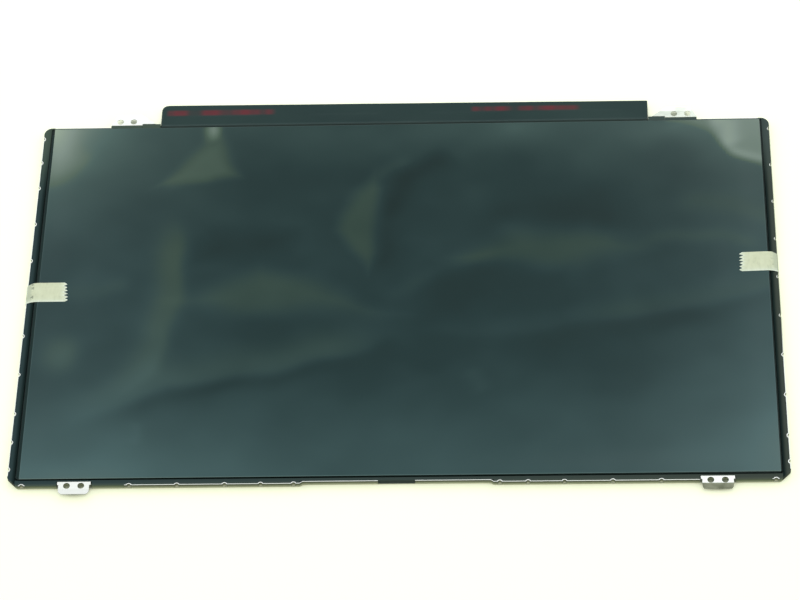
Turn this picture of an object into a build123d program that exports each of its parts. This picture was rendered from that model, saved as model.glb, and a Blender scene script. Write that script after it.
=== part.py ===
"""Laptop screen panel: a slim edge-lit liquid-crystal module, lying on its back with its display face up.

A folded steel rear cover holds a moulded frame, the light guide with its sheets and its strip of
light-emitting diodes, and the glass cell. Driver films join the cell to a control board that stands out
beyond the head edge under a black cover film. A clear film lies over the display, held by two strips of tape.

Millimetres. X runs along the long edges, Y points to the control board, Z points out of the display.
The origin is the centre of the rear cover's back face.
"""

from build123d import *
import math
import os

# Display area, and the borders from it to the outer faces of the folded walls
ACTIVE_WIDTH = 309.4
ACTIVE_HEIGHT = 173.95
SIDE_BORDER = 5.5
FOOT_BORDER = 4.85
HEAD_BORDER = 9.2
CORNER_CUT = 4.2
CORNER_ROUND = 1.0
HEAD_ROUND = 3.6

# Rear cover: sheet, proud back field, stiffening beads
SHEET = 0.25
FIELD_STEP = 0.2
FIELD_MARGIN = 11.0
FIELD_ROUND = 6.0
BEAD_LENGTH = 200.0
BEAD_WIDTH = 6.0
BEAD_DEPTH = 0.12
BEAD_SPREAD = 80.0

# Walls of the rear cover: where they end, and the half-round dimples that lock the frame
WALL_END_GAP = 0.6
DIMPLE_RADIUS = 1.25
DIMPLE_DEPTH = 0.95
DIMPLE_LIP = 0.33
DIMPLE_GAP = 0.1
DIMPLE_PITCH = 19.8
DIMPLE_END = 1.4
DIMPLE_END_STEP = 13.3
LEFT_ROW_CENTRE = 0.9
RIGHT_DIMPLE_PITCH = 20.1
RIGHT_FOOT_END = 3.6
FOOT_DIMPLE_STEPS = (12.5, 14.8, 19.6, 19.7)
FOOT_ROW_SHIFT = -1.0
FOOT_WALL_OVERRUN = 1.9
FOOT_STUB = 2.9

# Camera recess in the middle of the foot wall
RECESS_HALF = 38.4
RECESS_DEPTH = 0.85
RECESS_JOG = 1.2
RECESS_GAP_HALF = 7.6
RECESS_DIMPLE = 3.7

# Fixing tabs, folded outwards at the top of the foot and head walls
HEAD_TAB_FROM_END = 37.5
FOOT_TAB_FROM_END = 28.8
TAB_ROW_SHIFT = -0.9
HEAD_TAB_OFFSET = 1.0
FOOT_TAB_OFFSET = -1.95
TAB_ROOT_WIDTH = 13.8
TAB_WIDTH = 12.7
TAB_ROOT_DEPTH = 1.6
TAB_REACH = 6.0
TAB_ROUND = 1.8
TAB_FOLD_ROUND = 0.2
TAB_HOLE_DIAMETER = 2.8
TAB_HOLE_PITCH = 5.9
TAB_HOLE_SETBACK = 2.05
TAB_HOLE_LAND = 0.2
TAB_RELIEF = 0.4
TAB_WING = 5.8
TAB_TIP_INNER = 6.3
TAB_TIP_OUTER = 3.8
HEAD_TAB_DROOP = 8.0
FOOT_LEFT_TAB_DROOP = 4.0
FOOT_RIGHT_TAB_DROOP = 24.0

# Moulded frame
FRAME_GAP = 0.05
SIDE_RIM = 2.9
FOOT_RIM = 2.3
HEAD_RIM = 0.3
SHELF_THICKNESS = 0.25
CAVITY_WALL = 2.7
HEAD_CAVITY_WALL = 1.5
RIM_DROP = 0.4
LUG_REACH = 1.6
LUG_WIDTH = 6.7
LUG_GAP = 0.15

# Light guide and the sheets around it
REFLECTOR_THICKNESS = 0.15
GUIDE_THICKNESS = 0.55
DIFFUSER_THICKNESS = 0.12
PRISM_THICKNESS = 0.14
SHEET_SLACK = 0.06
STACK_GAP = 0.3
EAR_LENGTH = 8.0
EAR_DEPTH = 1.0
EAR_SPREAD = 90.0

# Light strip
FLEX_THICKNESS = 0.08
FLEX_WIDTH = 4.8
FLEX_BACK_GAP = 0.4
FLEX_END_GAP = 3.0
LED_COUNT = 36
LED_WIDTH = 3.0
LED_DEPTH = 1.0
LED_BACK_GAP = 2.2
LED_WINDOW_BORDER = 0.12
LED_WINDOW_DEPTH = 0.1
LED_TO_GUIDE = 0.15
TAIL_FROM_END = 51.5
TAIL_WIDTH = 10.0
TAIL_GAP = 0.3
TAIL_OVERLAP = 3.0

# Glass cell
ACTIVE_BORDER = 0.5
CELL_GAP = 0.4
CELL_HEAD_GAP = 0.2
CELL_CORNER = 0.8
GLASS_THICKNESS = 0.4
LEDGE_WIDTH = 2.6
POLARISER_THICKNESS = 0.13
POLARISER_INSET = 0.4
RIM_TAPE_THICKNESS = 0.08
RIM_TAPE_GAP = 0.4

# Driver films and chips
DRIVER_COUNT = 4
DRIVER_WIDTH = 30.0
DRIVER_THICKNESS = 0.06
DRIVER_BOND = 2.0
DRIVER_SLOPE = 1.5
DRIVER_OVERLAP = 2.3
CHIP_LENGTH = 16.0
CHIP_WIDTH = 1.2
CHIP_THICKNESS = 0.3
CHIP_GAP = 0.05

# Control board, which hangs a little askew, its cover film and the parts on its rear face
BOARD_WIDTH = 8.3
BOARD_THICKNESS = 0.45
BOARD_GAP = 3.9
BOARD_SHIFT = -0.55
BOARD_TURN = -0.33
BOARD_ROUND = 0.5
COVER_THICKNESS = 0.08
COVER_MARGIN = 1.4
COVER_OUTER_MARGIN = 0.4
COVER_ROUND = 3.0
COVER_SMALL_ROUND = 0.4
TIMING_CHIP = (7.0, 7.0, 0.75)
LIGHT_CHIP = (4.0, 4.0, 0.75)
LIGHT_CHIP_FROM_END = 37.5
POWER_CHIP = (4.0, 4.0, 0.75)
POWER_CHIP_X = 26.0
MEMORY_CHIP = (3.0, 4.4, 0.8)
MEMORY_CHIP_X = -15.0
INDUCTOR_SIZE = 4.0
INDUCTOR_HEIGHT = 0.85
INDUCTOR_CORNER = 0.6
LIGHT_INDUCTOR_FROM_END = 27.5
POWER_INDUCTOR_X = 33.5
CAPACITOR = (1.6, 0.8, 0.7)
CAPACITORS_FROM_END = (9.5, 16.5, 32.5)
CAPACITOR_XS = (-24.0, -8.0, 8.0, 13.0, 18.0, 39.0)
RESISTOR = (1.0, 0.5, 0.35)
RESISTORS_FROM_END = (12.5, 19.5)
RESISTOR_XS = (-21.0, -11.0, 5.5, 10.5, 15.5, 20.5, 42.0)
PART_ROW_SPREAD = 4.4

# Signal socket on the rear face of the control board
SOCKET_FROM_END = 28.5
SOCKET_LENGTH = 18.4
SOCKET_DEPTH = 3.6
SOCKET_HEIGHT = 0.9
SOCKET_EDGE = 0.5
SOCKET_MOUTH_DEPTH = 2.6
SOCKET_MOUTH_HEIGHT = 0.4
SHELL_THICKNESS = 0.1
CONTACT_COUNT = 30
CONTACT_PITCH = 0.5
CONTACT_WIDTH = 0.22
CONTACT_THICKNESS = 0.12
CONTACT_FOOT = 0.5

# Clear film over the display, and the two strips of tape that hold it
FILM_THICKNESS = 0.06
FILM_INSET = 0.5
FILM_SHIFT = 0.4
FILM_FOOT_INSET = 0.2
FILM_HEAD_INSET = 1.05
FILM_ROUND = 0.6
TAPE_THICKNESS = 0.06
TAPE_WIDTH = 10.0
TAPE_UNDER = 7.0
TAPE_TEETH = 7
TAPE_TOOTH_DEPTH = 0.9
LEFT_TAPE_Y = 3.6
LEFT_TAPE_REACH = 17.2
RIGHT_TAPE_Y = 15.2
RIGHT_TAPE_REACH = 15.9

# Levels, from the back upwards
MARGIN_Z = FIELD_STEP
FLOOR_Z = MARGIN_Z + SHEET
GUIDE_Z = FLOOR_Z + REFLECTOR_THICKNESS
GUIDE_TOP = GUIDE_Z + GUIDE_THICKNESS
LOWER_PRISM_Z = GUIDE_TOP + DIFFUSER_THICKNESS
UPPER_PRISM_Z = LOWER_PRISM_Z + PRISM_THICKNESS
SHELF_Z = UPPER_PRISM_Z + PRISM_THICKNESS + SHEET_SLACK
SHELF_TOP = SHELF_Z + SHELF_THICKNESS
CELL_Z = SHELF_TOP + RIM_TAPE_THICKNESS
ARRAY_Z = CELL_Z + POLARISER_THICKNESS
COLOUR_Z = ARRAY_Z + GLASS_THICKNESS
FRONT_Z = COLOUR_Z + GLASS_THICKNESS
FACE_Z = FRONT_Z + POLARISER_THICKNESS
FILM_TOP = FACE_Z + FILM_THICKNESS
RIM_Z = FACE_Z - RIM_DROP
BOARD_Z = GUIDE_TOP + FLEX_THICKNESS
BOARD_TOP = BOARD_Z + BOARD_THICKNESS

# Plan lines, from the walls inwards
BODY_WIDTH = ACTIVE_WIDTH + 2 * SIDE_BORDER
BODY_HEIGHT = ACTIVE_HEIGHT + FOOT_BORDER + HEAD_BORDER
HALF_WIDTH = BODY_WIDTH / 2
HALF_HEIGHT = BODY_HEIGHT / 2
WALL_HALF_X = HALF_WIDTH - CORNER_CUT - WALL_END_GAP
WALL_HALF_Y = HALF_HEIGHT - CORNER_CUT - WALL_END_GAP
FRAME_X = HALF_WIDTH - SHEET - FRAME_GAP
FRAME_Y = HALF_HEIGHT - SHEET - FRAME_GAP
SEAT_X = FRAME_X - SIDE_RIM
SEAT_FOOT = -FRAME_Y + FOOT_RIM
SEAT_HEAD = FRAME_Y - HEAD_RIM
CAVITY_X = FRAME_X - CAVITY_WALL
CAVITY_FOOT = -FRAME_Y + CAVITY_WALL
CAVITY_HEAD = FRAME_Y - HEAD_CAVITY_WALL
OPENING_X = ACTIVE_WIDTH / 2 + ACTIVE_BORDER
OPENING_FOOT = FOOT_BORDER - HALF_HEIGHT - ACTIVE_BORDER
OPENING_HEAD = HALF_HEIGHT - HEAD_BORDER + ACTIVE_BORDER
STACK_X = CAVITY_X - STACK_GAP
STACK_FOOT = CAVITY_FOOT + STACK_GAP
FLEX_BACK = CAVITY_HEAD - FLEX_BACK_GAP
FLEX_FRONT = FLEX_BACK - FLEX_WIDTH
LED_BACK = FLEX_BACK - LED_BACK_GAP
LED_FRONT = LED_BACK - LED_DEPTH
GUIDE_HEAD = LED_FRONT - LED_TO_GUIDE
SHEETS_HEAD = FLEX_FRONT - STACK_GAP
CELL_X = SEAT_X - CELL_GAP
CELL_FOOT = SEAT_FOOT + CELL_GAP
CELL_HEAD = SEAT_HEAD - CELL_HEAD_GAP
COLOUR_HEAD = CELL_HEAD - LEDGE_WIDTH
POLARISER_X = CELL_X - POLARISER_INSET
POLARISER_FOOT = CELL_FOOT + POLARISER_INSET
POLARISER_HEAD = COLOUR_HEAD - POLARISER_INSET
FILM_X = POLARISER_X - FILM_INSET
FILM_FOOT = CELL_FOOT + FILM_FOOT_INSET
FILM_HEAD = HALF_HEIGHT - FILM_HEAD_INSET
BOARD_FOOT = HALF_HEIGHT + BOARD_GAP
BOARD_HEAD = BOARD_FOOT + BOARD_WIDTH
BOARD_MIDDLE = BOARD_FOOT + BOARD_WIDTH / 2
HEAD_TAB_X = HALF_WIDTH - HEAD_TAB_FROM_END
FOOT_TAB_X = HALF_WIDTH - FOOT_TAB_FROM_END
HEAD_TAB_LINE = HALF_HEIGHT + HEAD_TAB_OFFSET
FOOT_TAB_LINE = HALF_HEIGHT + FOOT_TAB_OFFSET
HEAD_TAB_INNER = HEAD_TAB_X - abs(TAB_ROW_SHIFT) - TAB_ROOT_WIDTH / 2
COVER_X = HEAD_TAB_INNER - LUG_WIDTH - 2 * LUG_GAP
BOARD_X = COVER_X - COVER_MARGIN
BOARD_LENGTH = 2 * BOARD_X
TAIL_X = TAIL_FROM_END - BOARD_X
SOCKET_X = BOARD_X - SOCKET_FROM_END


def block(x0, x1, y0, y1, z0, z1):
    """A box between two corners."""
    size = Box(x1 - x0, y1 - y0, z1 - z0)
    return Pos((x0 + x1) / 2, (y0 + y1) / 2, (z0 + z1) / 2) * size


def patch(x0, x1, y0, y1):
    """A flat rectangle between two corners."""
    return Pos((x0 + x1) / 2, (y0 + y1) / 2) * Rectangle(x1 - x0, y1 - y0)


def slab(plan, z0, z1):
    """A plan outline raised from one level to another."""
    return Pos(0, 0, z0) * extrude(plan, z1 - z0)


def cut_corners(plan, leg):
    """A plan outline with its corners cut off at 45 degrees."""
    return chamfer(plan.vertices(), leg)


def outline_of(points):
    """A flat face inside a closed line of straight runs."""
    return make_face(Polyline(*points, close=True))


def body_outline():
    """The panel's outline: corners rounded at the head, and cut off with their ends eased at the foot."""
    plain = Rectangle(BODY_WIDTH, BODY_HEIGHT)
    plan = fillet([v for v in plain.vertices() if v.Y > 0], HEAD_ROUND)
    plan = chamfer([v for v in plan.vertices() if v.Y < 0], CORNER_CUT)
    return fillet([v for v in plan.vertices() if v.Y < 0], CORNER_ROUND)


def tab_places():
    """Each fixing tab: middle along X, line of its wall's inner face, way out along Y, droop of its tip."""
    return [
        (TAB_ROW_SHIFT - HEAD_TAB_X, HEAD_TAB_LINE, 1, HEAD_TAB_DROOP),
        (TAB_ROW_SHIFT + HEAD_TAB_X, HEAD_TAB_LINE, 1, HEAD_TAB_DROOP),
        (TAB_ROW_SHIFT - FOOT_TAB_X, -FOOT_TAB_LINE, -1, FOOT_LEFT_TAB_DROOP),
        (TAB_ROW_SHIFT + FOOT_TAB_X, -FOOT_TAB_LINE, -1, FOOT_RIGHT_TAB_DROOP),
    ]


# Rows of dimples, as places along each wall


def left_row():
    """Even pitch about the row's centre, then two closer dimples at each end of the wall."""
    last = WALL_HALF_Y - DIMPLE_END - LEFT_ROW_CENTRE
    inner = last - DIMPLE_END_STEP
    count = int((inner - DIMPLE_PITCH / 2) // DIMPLE_PITCH)
    even = [n * DIMPLE_PITCH for n in range(-count, count + 1)]
    return [LEFT_ROW_CENTRE + y for y in [-last, -inner, *even, inner, last]]


def right_row():
    """Even pitch down from the head end, and one closer dimple at the foot end."""
    first = WALL_HALF_Y - DIMPLE_END
    last = RIGHT_FOOT_END - WALL_HALF_Y
    count = int((first - last - DIMPLE_END_STEP / 2) // RIGHT_DIMPLE_PITCH)
    return [first - n * RIGHT_DIMPLE_PITCH for n in range(count + 1)] + [last]


def foot_row():
    """Outwards on both sides from the camera recess, and one dimple near each end of the wall."""
    reach = RECESS_HALF + RECESS_DIMPLE
    last = WALL_HALF_X - DIMPLE_END
    places = [-last, -reach, reach, last]
    for step in FOOT_DIMPLE_STEPS:
        reach += step
        places += [FOOT_ROW_SHIFT - reach, FOOT_ROW_SHIFT + reach]
    return places


def dimple(place, radius):
    """A disc about the centre of a dimple, for a wall with its outer face on the X axis, inside to +Y."""
    return Pos(place, DIMPLE_DEPTH - DIMPLE_RADIUS) * Circle(radius)


def dimpled_wall(spans, places):
    """Plan of a wall along the X axis, outer face on it: straight spans, round dimples, thicker there."""
    plan = Sketch() + [patch(start, end, 0, SHEET) for start, end in spans]
    for place in places:
        inside = patch(place - DIMPLE_RADIUS, place + DIMPLE_RADIUS, 0, DIMPLE_RADIUS)
        plan += dimple(place, DIMPLE_RADIUS) & inside
    return plan - [dimple(place, DIMPLE_RADIUS - DIMPLE_LIP) for place in places]


# How a wall's own plan, drawn along X with the inside towards +Y, is set on each edge
FOOT_EDGE = Pos(0, -HALF_HEIGHT)
LEFT_EDGE = Pos(-HALF_WIDTH, 0) * Rot(0, 0, -90)
RIGHT_EDGE = Pos(HALF_WIDTH, 0) * Rot(0, 0, 90)


def dimple_pockets():
    """Plan of the clearance that the frame leaves round every dimple."""
    radius = DIMPLE_RADIUS + DIMPLE_GAP
    rows = [
        (FOOT_EDGE, foot_row()),
        (LEFT_EDGE, [-y for y in left_row()]),
        (RIGHT_EDGE, right_row()),
    ]
    return [edge * dimple(place, radius) for edge, row in rows for place in row]


# Rear cover


def foot_spans():
    """Straight stretches of the foot wall: a stub at each end, and one on each side of the camera recess."""
    jog = RECESS_HALF + RECESS_JOG
    stub = WALL_HALF_X - FOOT_STUB
    left_end = sorted(foot_row())[1] - FOOT_WALL_OVERRUN
    right_end = TAB_ROW_SHIFT + FOOT_TAB_X - TAB_ROOT_WIDTH / 2 - TAB_RELIEF
    return [(-WALL_HALF_X, -stub), (left_end, -jog), (jog, right_end), (stub, WALL_HALF_X)]


def recess_outline():
    """The camera recess between the outer faces of the stepped foot wall, drawn along X."""
    jog = RECESS_HALF + RECESS_JOG
    return outline_of([(-jog, 0), (jog, 0), (RECESS_HALF, RECESS_DEPTH), (-RECESS_HALF, RECESS_DEPTH)])


def foot_wall():
    """Plan of the foot wall: open beside the tabs, stepped in and open in the middle for a camera."""
    jog = RECESS_HALF + RECESS_JOG
    inner, outer = RECESS_DEPTH, RECESS_DEPTH + SHEET
    stepped = []
    for side in (-1, 1):
        slope = [(jog, 0), (jog, SHEET), (RECESS_HALF, outer), (RECESS_HALF, inner)]
        stepped += [outline_of([(side * x, y) for x, y in slope])]
        stepped += [patch(*sorted((side * RECESS_GAP_HALF, side * RECESS_HALF)), inner, outer)]
    return FOOT_EDGE * (dimpled_wall(foot_spans(), foot_row()) + stepped)


def head_wall():
    """Plan of the full-height outer stretches of the head wall."""
    start = HEAD_TAB_X + TAB_ROOT_WIDTH / 2 + abs(TAB_ROW_SHIFT) + TAB_RELIEF
    level = HALF_HEIGHT - SHEET
    return patch(-WALL_HALF_X, -start, level, HALF_HEIGHT) + patch(start, WALL_HALF_X, level, HALF_HEIGHT)


def low_head_wall():
    """The low middle stretch of the head wall, under the driver films, notched for the light strip's tail."""
    wall = block(-BOARD_X, BOARD_X, HALF_HEIGHT - SHEET, HALF_HEIGHT, MARGIN_Z, SHELF_TOP - SHEET_SLACK)
    return wall - tail_passage()


def tail_passage():
    """Room for the light strip's tail through the frame and the head wall."""
    half = TAIL_WIDTH / 2 + TAIL_GAP
    return block(TAIL_X - half, TAIL_X + half, CAVITY_HEAD, HALF_HEIGHT, GUIDE_TOP, SHELF_TOP)


def side_wall(edge, places):
    """Plan of a left or right wall."""
    return edge * dimpled_wall([(-WALL_HALF_Y, WALL_HALF_Y)], places)


def cover_plan():
    """Plan of the floor: the body outline, drawn in at the recess and foot tabs and out at the head tabs."""
    plan = body_outline() - FOOT_EDGE * recess_outline()
    for x, line, out, _ in tab_places():
        half = TAB_ROOT_WIDTH / 2
        edge = line + out * SHEET
        if out > 0:
            plan += patch(x - half, x + half, 0, edge)
        else:
            half += TAB_RELIEF
            plan -= patch(x - half, x + half, -2 * HALF_HEIGHT, edge)
    return plan


def foot_tab_plan():
    """A foot tab seen from above, wall towards -Y: a root with small ears, then the round-cornered flange."""
    flange = Pos(0, TAB_REACH / 2) * RectangleRounded(TAB_WIDTH, TAB_REACH, TAB_ROUND)
    return flange + patch(-TAB_ROOT_WIDTH / 2, TAB_ROOT_WIDTH / 2, 0, TAB_ROOT_DEPTH)


def head_tab_plan(side):
    """A head tab seen from above, wall towards -Y: sides slanted, and a wing past the frame's lug."""
    half = TAB_ROOT_WIDTH / 2
    clear = LUG_REACH - HEAD_TAB_OFFSET + LUG_GAP
    points = [
        (-half, 0),
        (half, 0),
        (half, clear),
        (TAB_TIP_OUTER, TAB_REACH),
        (-TAB_TIP_INNER, TAB_REACH),
        (-half - TAB_WING, clear),
        (-half, clear),
    ]
    return outline_of([(side * u, v) for u, v in points])


def tab(x, line, out, droop):
    """A fixing tab: the wall below it, folded outwards at the rim, its outer half hanging down a little."""
    bend = TAB_HOLE_SETBACK + TAB_HOLE_DIAMETER / 2 + TAB_HOLE_LAND
    angle = math.radians(droop)
    along = TAB_REACH - bend
    tip = (bend + along * math.cos(angle), RIM_Z - along * math.sin(angle))
    under = (tip[0] - SHEET * math.sin(angle), tip[1] - SHEET * math.cos(angle))
    section = [
        (0, MARGIN_Z),
        (0, RIM_Z),
        (bend, RIM_Z),
        tip,
        under,
        (bend - SHEET * math.tan(angle / 2), RIM_Z - SHEET),
        (SHEET, RIM_Z - SHEET),
        (SHEET, MARGIN_Z),
    ]
    profile = outline_of(section)
    fold = [v for v in profile.vertices() if v.X < SHEET / 2 and v.Y > RIM_Z - SHEET / 2]
    profile = fillet(fold, TAB_FOLD_ROUND)
    folded = extrude(Plane.YZ * profile, TAB_ROOT_WIDTH / 2 + TAB_WING, both=True)
    plan = head_tab_plan(math.copysign(1, x)) if out > 0 else foot_tab_plan()
    folded &= slab(plan, 0, RIM_Z)
    for side in (-1, 1):
        hole = Cylinder(TAB_HOLE_DIAMETER / 2, 2 * SHEET)
        folded -= Pos(side * TAB_HOLE_PITCH / 2, TAB_HOLE_SETBACK, RIM_Z - SHEET / 2) * hole
    turned = folded if out > 0 else Rot(0, 0, 180) * folded
    return Pos(x, line, 0) * turned


def beads():
    """The two long stiffening beads pressed into the back field."""
    return [Pos(0, side * BEAD_SPREAD / 2) * SlotOverall(BEAD_LENGTH, BEAD_WIDTH) for side in (-1, 1)]


def bead_ridges():
    """The same beads where they stand up inside the cover, one sheet thickness wider."""
    return [
        Pos(0, side * BEAD_SPREAD / 2) * SlotOverall(BEAD_LENGTH + SHEET, BEAD_WIDTH + SHEET)
        for side in (-1, 1)
    ]


def rear_cover():
    """One folded and pressed sheet: floor with a proud field, four dimpled walls, four tabs."""
    field_x = BODY_WIDTH - 2 * FIELD_MARGIN
    field_y = BODY_HEIGHT - 2 * FIELD_MARGIN
    field = RectangleRounded(field_x, field_y, FIELD_ROUND)
    hollow = RectangleRounded(field_x - 2 * SHEET, field_y - 2 * SHEET, FIELD_ROUND - SHEET)
    cover = slab(cover_plan(), MARGIN_Z, FLOOR_Z)
    cover += slab(field, 0, MARGIN_Z)
    cover -= slab(hollow, SHEET, FLOOR_Z)
    for ridge, bead in zip(bead_ridges(), beads()):
        cover += slab(ridge, SHEET, SHEET + BEAD_DEPTH)
        cover -= slab(bead, 0, BEAD_DEPTH)
    walls = [
        foot_wall(),
        head_wall(),
        side_wall(LEFT_EDGE, [-y for y in left_row()]),
        side_wall(RIGHT_EDGE, right_row()),
    ]
    cover += [slab(wall, MARGIN_Z, RIM_Z) for wall in walls]
    cover += low_head_wall()
    for place in tab_places():
        cover += tab(*place)
    return cover


# Moulded frame


def frame_outline():
    """Plan of the frame: inside the walls, flush with them where they are open, cut for the dimples."""
    plan = cut_corners(Rectangle(2 * FRAME_X, 2 * FRAME_Y), CORNER_CUT)
    corner_x, corner_y = WALL_HALF_X + DIMPLE_GAP, WALL_HALF_Y + DIMPLE_GAP
    for x in (-1, 1):
        for y in (-1, 1):
            square = patch(*sorted((x * corner_x, x * HALF_WIDTH)), *sorted((y * corner_y, y * HALF_HEIGHT)))
            plan += body_outline() & square
    ends = foot_spans()
    for (_, start), (end, _) in ((ends[0], ends[1]), (ends[2], ends[3])):
        plan += patch(start + DIMPLE_GAP, end - DIMPLE_GAP, -HALF_HEIGHT, -FRAME_Y)
    plan -= dimple_pockets()
    recess = RECESS_HALF + RECESS_JOG + FRAME_GAP
    recess_line = -HALF_HEIGHT + RECESS_DEPTH + SHEET + FRAME_GAP
    plan -= patch(-recess, recess, -HALF_HEIGHT, recess_line)
    for x, line, out, _ in tab_places():
        half = TAB_ROOT_WIDTH / 2 + TAB_RELIEF
        if out < 0:
            plan -= patch(x - half, x + half, -HALF_HEIGHT, line + FRAME_GAP)
    return plan


def head_lugs():
    """Plan of the lugs at the head: one behind each tab, and a taller one between the tab and the board."""
    lugs = []
    for x, line, out, _ in tab_places():
        if out > 0:
            side = math.copysign(1, x)
            half = TAB_ROOT_WIDTH / 2
            lugs += [patch(x - half, x + half, SEAT_HEAD, line - FRAME_GAP)]
            inner = BOARD_SHIFT + side * (COVER_X + LUG_GAP)
            outer = x - side * (half + LUG_GAP)
            lugs += [patch(*sorted((inner, outer)), SEAT_HEAD, HALF_HEIGHT + LUG_REACH)]
    return lugs


def sheet_plan(head, grow=0.0):
    """Plan of a sheet in the light stack, two locating ears on each side; grow makes it the frame's slots."""
    plan = patch(-STACK_X, STACK_X, STACK_FOOT, head)
    ear = EAR_LENGTH / 2 + grow
    reach = STACK_X + EAR_DEPTH + grow
    for y in (-EAR_SPREAD / 2, EAR_SPREAD / 2):
        plan += patch(-reach, reach, y - ear, y + ear)
    return plan


def mould_frame():
    """The ring that seats the cell above its shelf and holds the light stack below it."""
    frame = slab(frame_outline(), FLOOR_Z, RIM_Z)
    frame += [slab(lug, FLOOR_Z, RIM_Z) for lug in head_lugs()]
    frame -= block(-SEAT_X, SEAT_X, SEAT_FOOT, SEAT_HEAD, SHELF_TOP, RIM_Z)
    frame -= block(-CAVITY_X, CAVITY_X, CAVITY_FOOT, CAVITY_HEAD, FLOOR_Z, SHELF_Z)
    frame -= slab(sheet_plan(SHEETS_HEAD, STACK_GAP), FLOOR_Z, SHELF_Z)
    frame -= block(-OPENING_X, OPENING_X, OPENING_FOOT, OPENING_HEAD, FLOOR_Z, RIM_Z)
    gate = Pos(BOARD_SHIFT) * patch(-COVER_X - LUG_GAP, COVER_X + LUG_GAP, SEAT_HEAD, HALF_HEIGHT)
    frame -= slab(gate, SHELF_TOP, RIM_Z)
    low = BOARD_X + FRAME_GAP
    frame -= block(-low, low, FRAME_Y, HALF_HEIGHT, FLOOR_Z, SHELF_TOP)
    return frame - tail_passage()


# Light stack


def reflector_sheet():
    """White sheet under the guide and the diodes."""
    return slab(sheet_plan(FLEX_BACK), FLOOR_Z, GUIDE_Z)


def light_guide_plate():
    """Clear plate, lit at its head edge."""
    return slab(sheet_plan(GUIDE_HEAD), GUIDE_Z, GUIDE_TOP)


def diffuser_sheet():
    """Milky sheet on the guide, short of the light strip."""
    return slab(sheet_plan(SHEETS_HEAD), GUIDE_TOP, LOWER_PRISM_Z)


def prism_sheet(level):
    """One of the two prism sheets over the diffuser."""
    return slab(sheet_plan(SHEETS_HEAD), level, level + PRISM_THICKNESS)


def led_flex_strip():
    """The flexible strip over the diodes, with the tail that is soldered under the control board."""
    half = STACK_X - FLEX_END_GAP
    tail = TAIL_WIDTH / 2
    plan = patch(-half, half, FLEX_FRONT, FLEX_BACK)
    plan += patch(TAIL_X - tail, TAIL_X + tail, FLEX_FRONT, BOARD_FOOT + TAIL_OVERLAP)
    return slab(plan, GUIDE_TOP, BOARD_Z)


def leds():
    """A row of side-emitting diodes, each with a sunk window facing the light guide."""
    run = 2 * (STACK_X - FLEX_END_GAP)
    pitch = run / LED_COUNT
    border = LED_WINDOW_BORDER
    package = block(-LED_WIDTH / 2, LED_WIDTH / 2, LED_FRONT, LED_BACK, GUIDE_Z, GUIDE_TOP)
    package -= block(
        -LED_WIDTH / 2 + border,
        LED_WIDTH / 2 - border,
        LED_FRONT,
        LED_FRONT + LED_WINDOW_DEPTH,
        GUIDE_Z + border,
        GUIDE_TOP - border,
    )
    return Compound([Pos((n + 0.5) * pitch - run / 2) * package.solid() for n in range(LED_COUNT)])


# Glass cell


def cell_sheet(half, foot, head, level, thickness):
    """A rectangular sheet of the cell, corners nipped."""
    plan = cut_corners(patch(-half, half, foot, head), CELL_CORNER)
    return slab(plan, level, level + thickness)


def rim_tape():
    """The ring of black double-sided tape on the frame's shelf."""
    gap = RIM_TAPE_GAP
    ring = patch(-SEAT_X + gap, SEAT_X - gap, SEAT_FOOT + gap, SEAT_HEAD - gap)
    ring -= patch(-OPENING_X, OPENING_X, OPENING_FOOT, OPENING_HEAD)
    return slab(ring, SHELF_TOP, CELL_Z)


# Driver films, control board


def stepped_strip(width, foot, head, level, thickness):
    """A thin strip that lies on the cell's ledge, steps down past its edge and lies over the board."""
    top = HALF_HEIGHT - FRAME_GAP
    low = top + DRIVER_SLOPE
    drop = COLOUR_Z - BOARD_TOP
    lower = [(foot, level), (top, level), (low, level - drop), (head, level - drop)]
    upper = [(y, z + thickness) for y, z in reversed(lower)]
    return extrude(Plane.YZ * outline_of(lower + upper), width / 2, both=True)


def driver_xs():
    """Places of the driver films, evenly along the board."""
    pitch = BOARD_LENGTH / DRIVER_COUNT
    return [BOARD_SHIFT + (n + 0.5) * pitch - BOARD_X for n in range(DRIVER_COUNT)]


def driver_film(x):
    """One flexible film, bonded on the cell's ledge and on the board."""
    foot = CELL_HEAD - DRIVER_BOND
    head = BOARD_FOOT + DRIVER_OVERLAP
    return Pos(x) * stepped_strip(DRIVER_WIDTH, foot, head, COLOUR_Z, DRIVER_THICKNESS)


def driver_chips():
    """One long chip under each driver film, where the film comes level, short of the board."""
    middle = HALF_HEIGHT - FRAME_GAP + DRIVER_SLOPE + CHIP_GAP + CHIP_WIDTH / 2
    chip = Pos(0, middle, BOARD_TOP - CHIP_THICKNESS / 2) * Box(CHIP_LENGTH, CHIP_WIDTH, CHIP_THICKNESS)
    return Compound([Pos(x) * chip.solid() for x in driver_xs()])


def askew(part):
    """A part of the board, drawn square to the panel, turned with the board about its left end."""
    end = Pos(-BOARD_X, BOARD_MIDDLE)
    return Pos(BOARD_SHIFT) * end * Rot(0, 0, BOARD_TURN) * end.inverse() * part


def control_board():
    """The bare board, beyond the head wall."""
    plan = Pos(0, BOARD_MIDDLE) * RectangleRounded(BOARD_LENGTH, BOARD_WIDTH, BOARD_ROUND)
    return slab(plan, BOARD_Z, BOARD_TOP)


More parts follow.
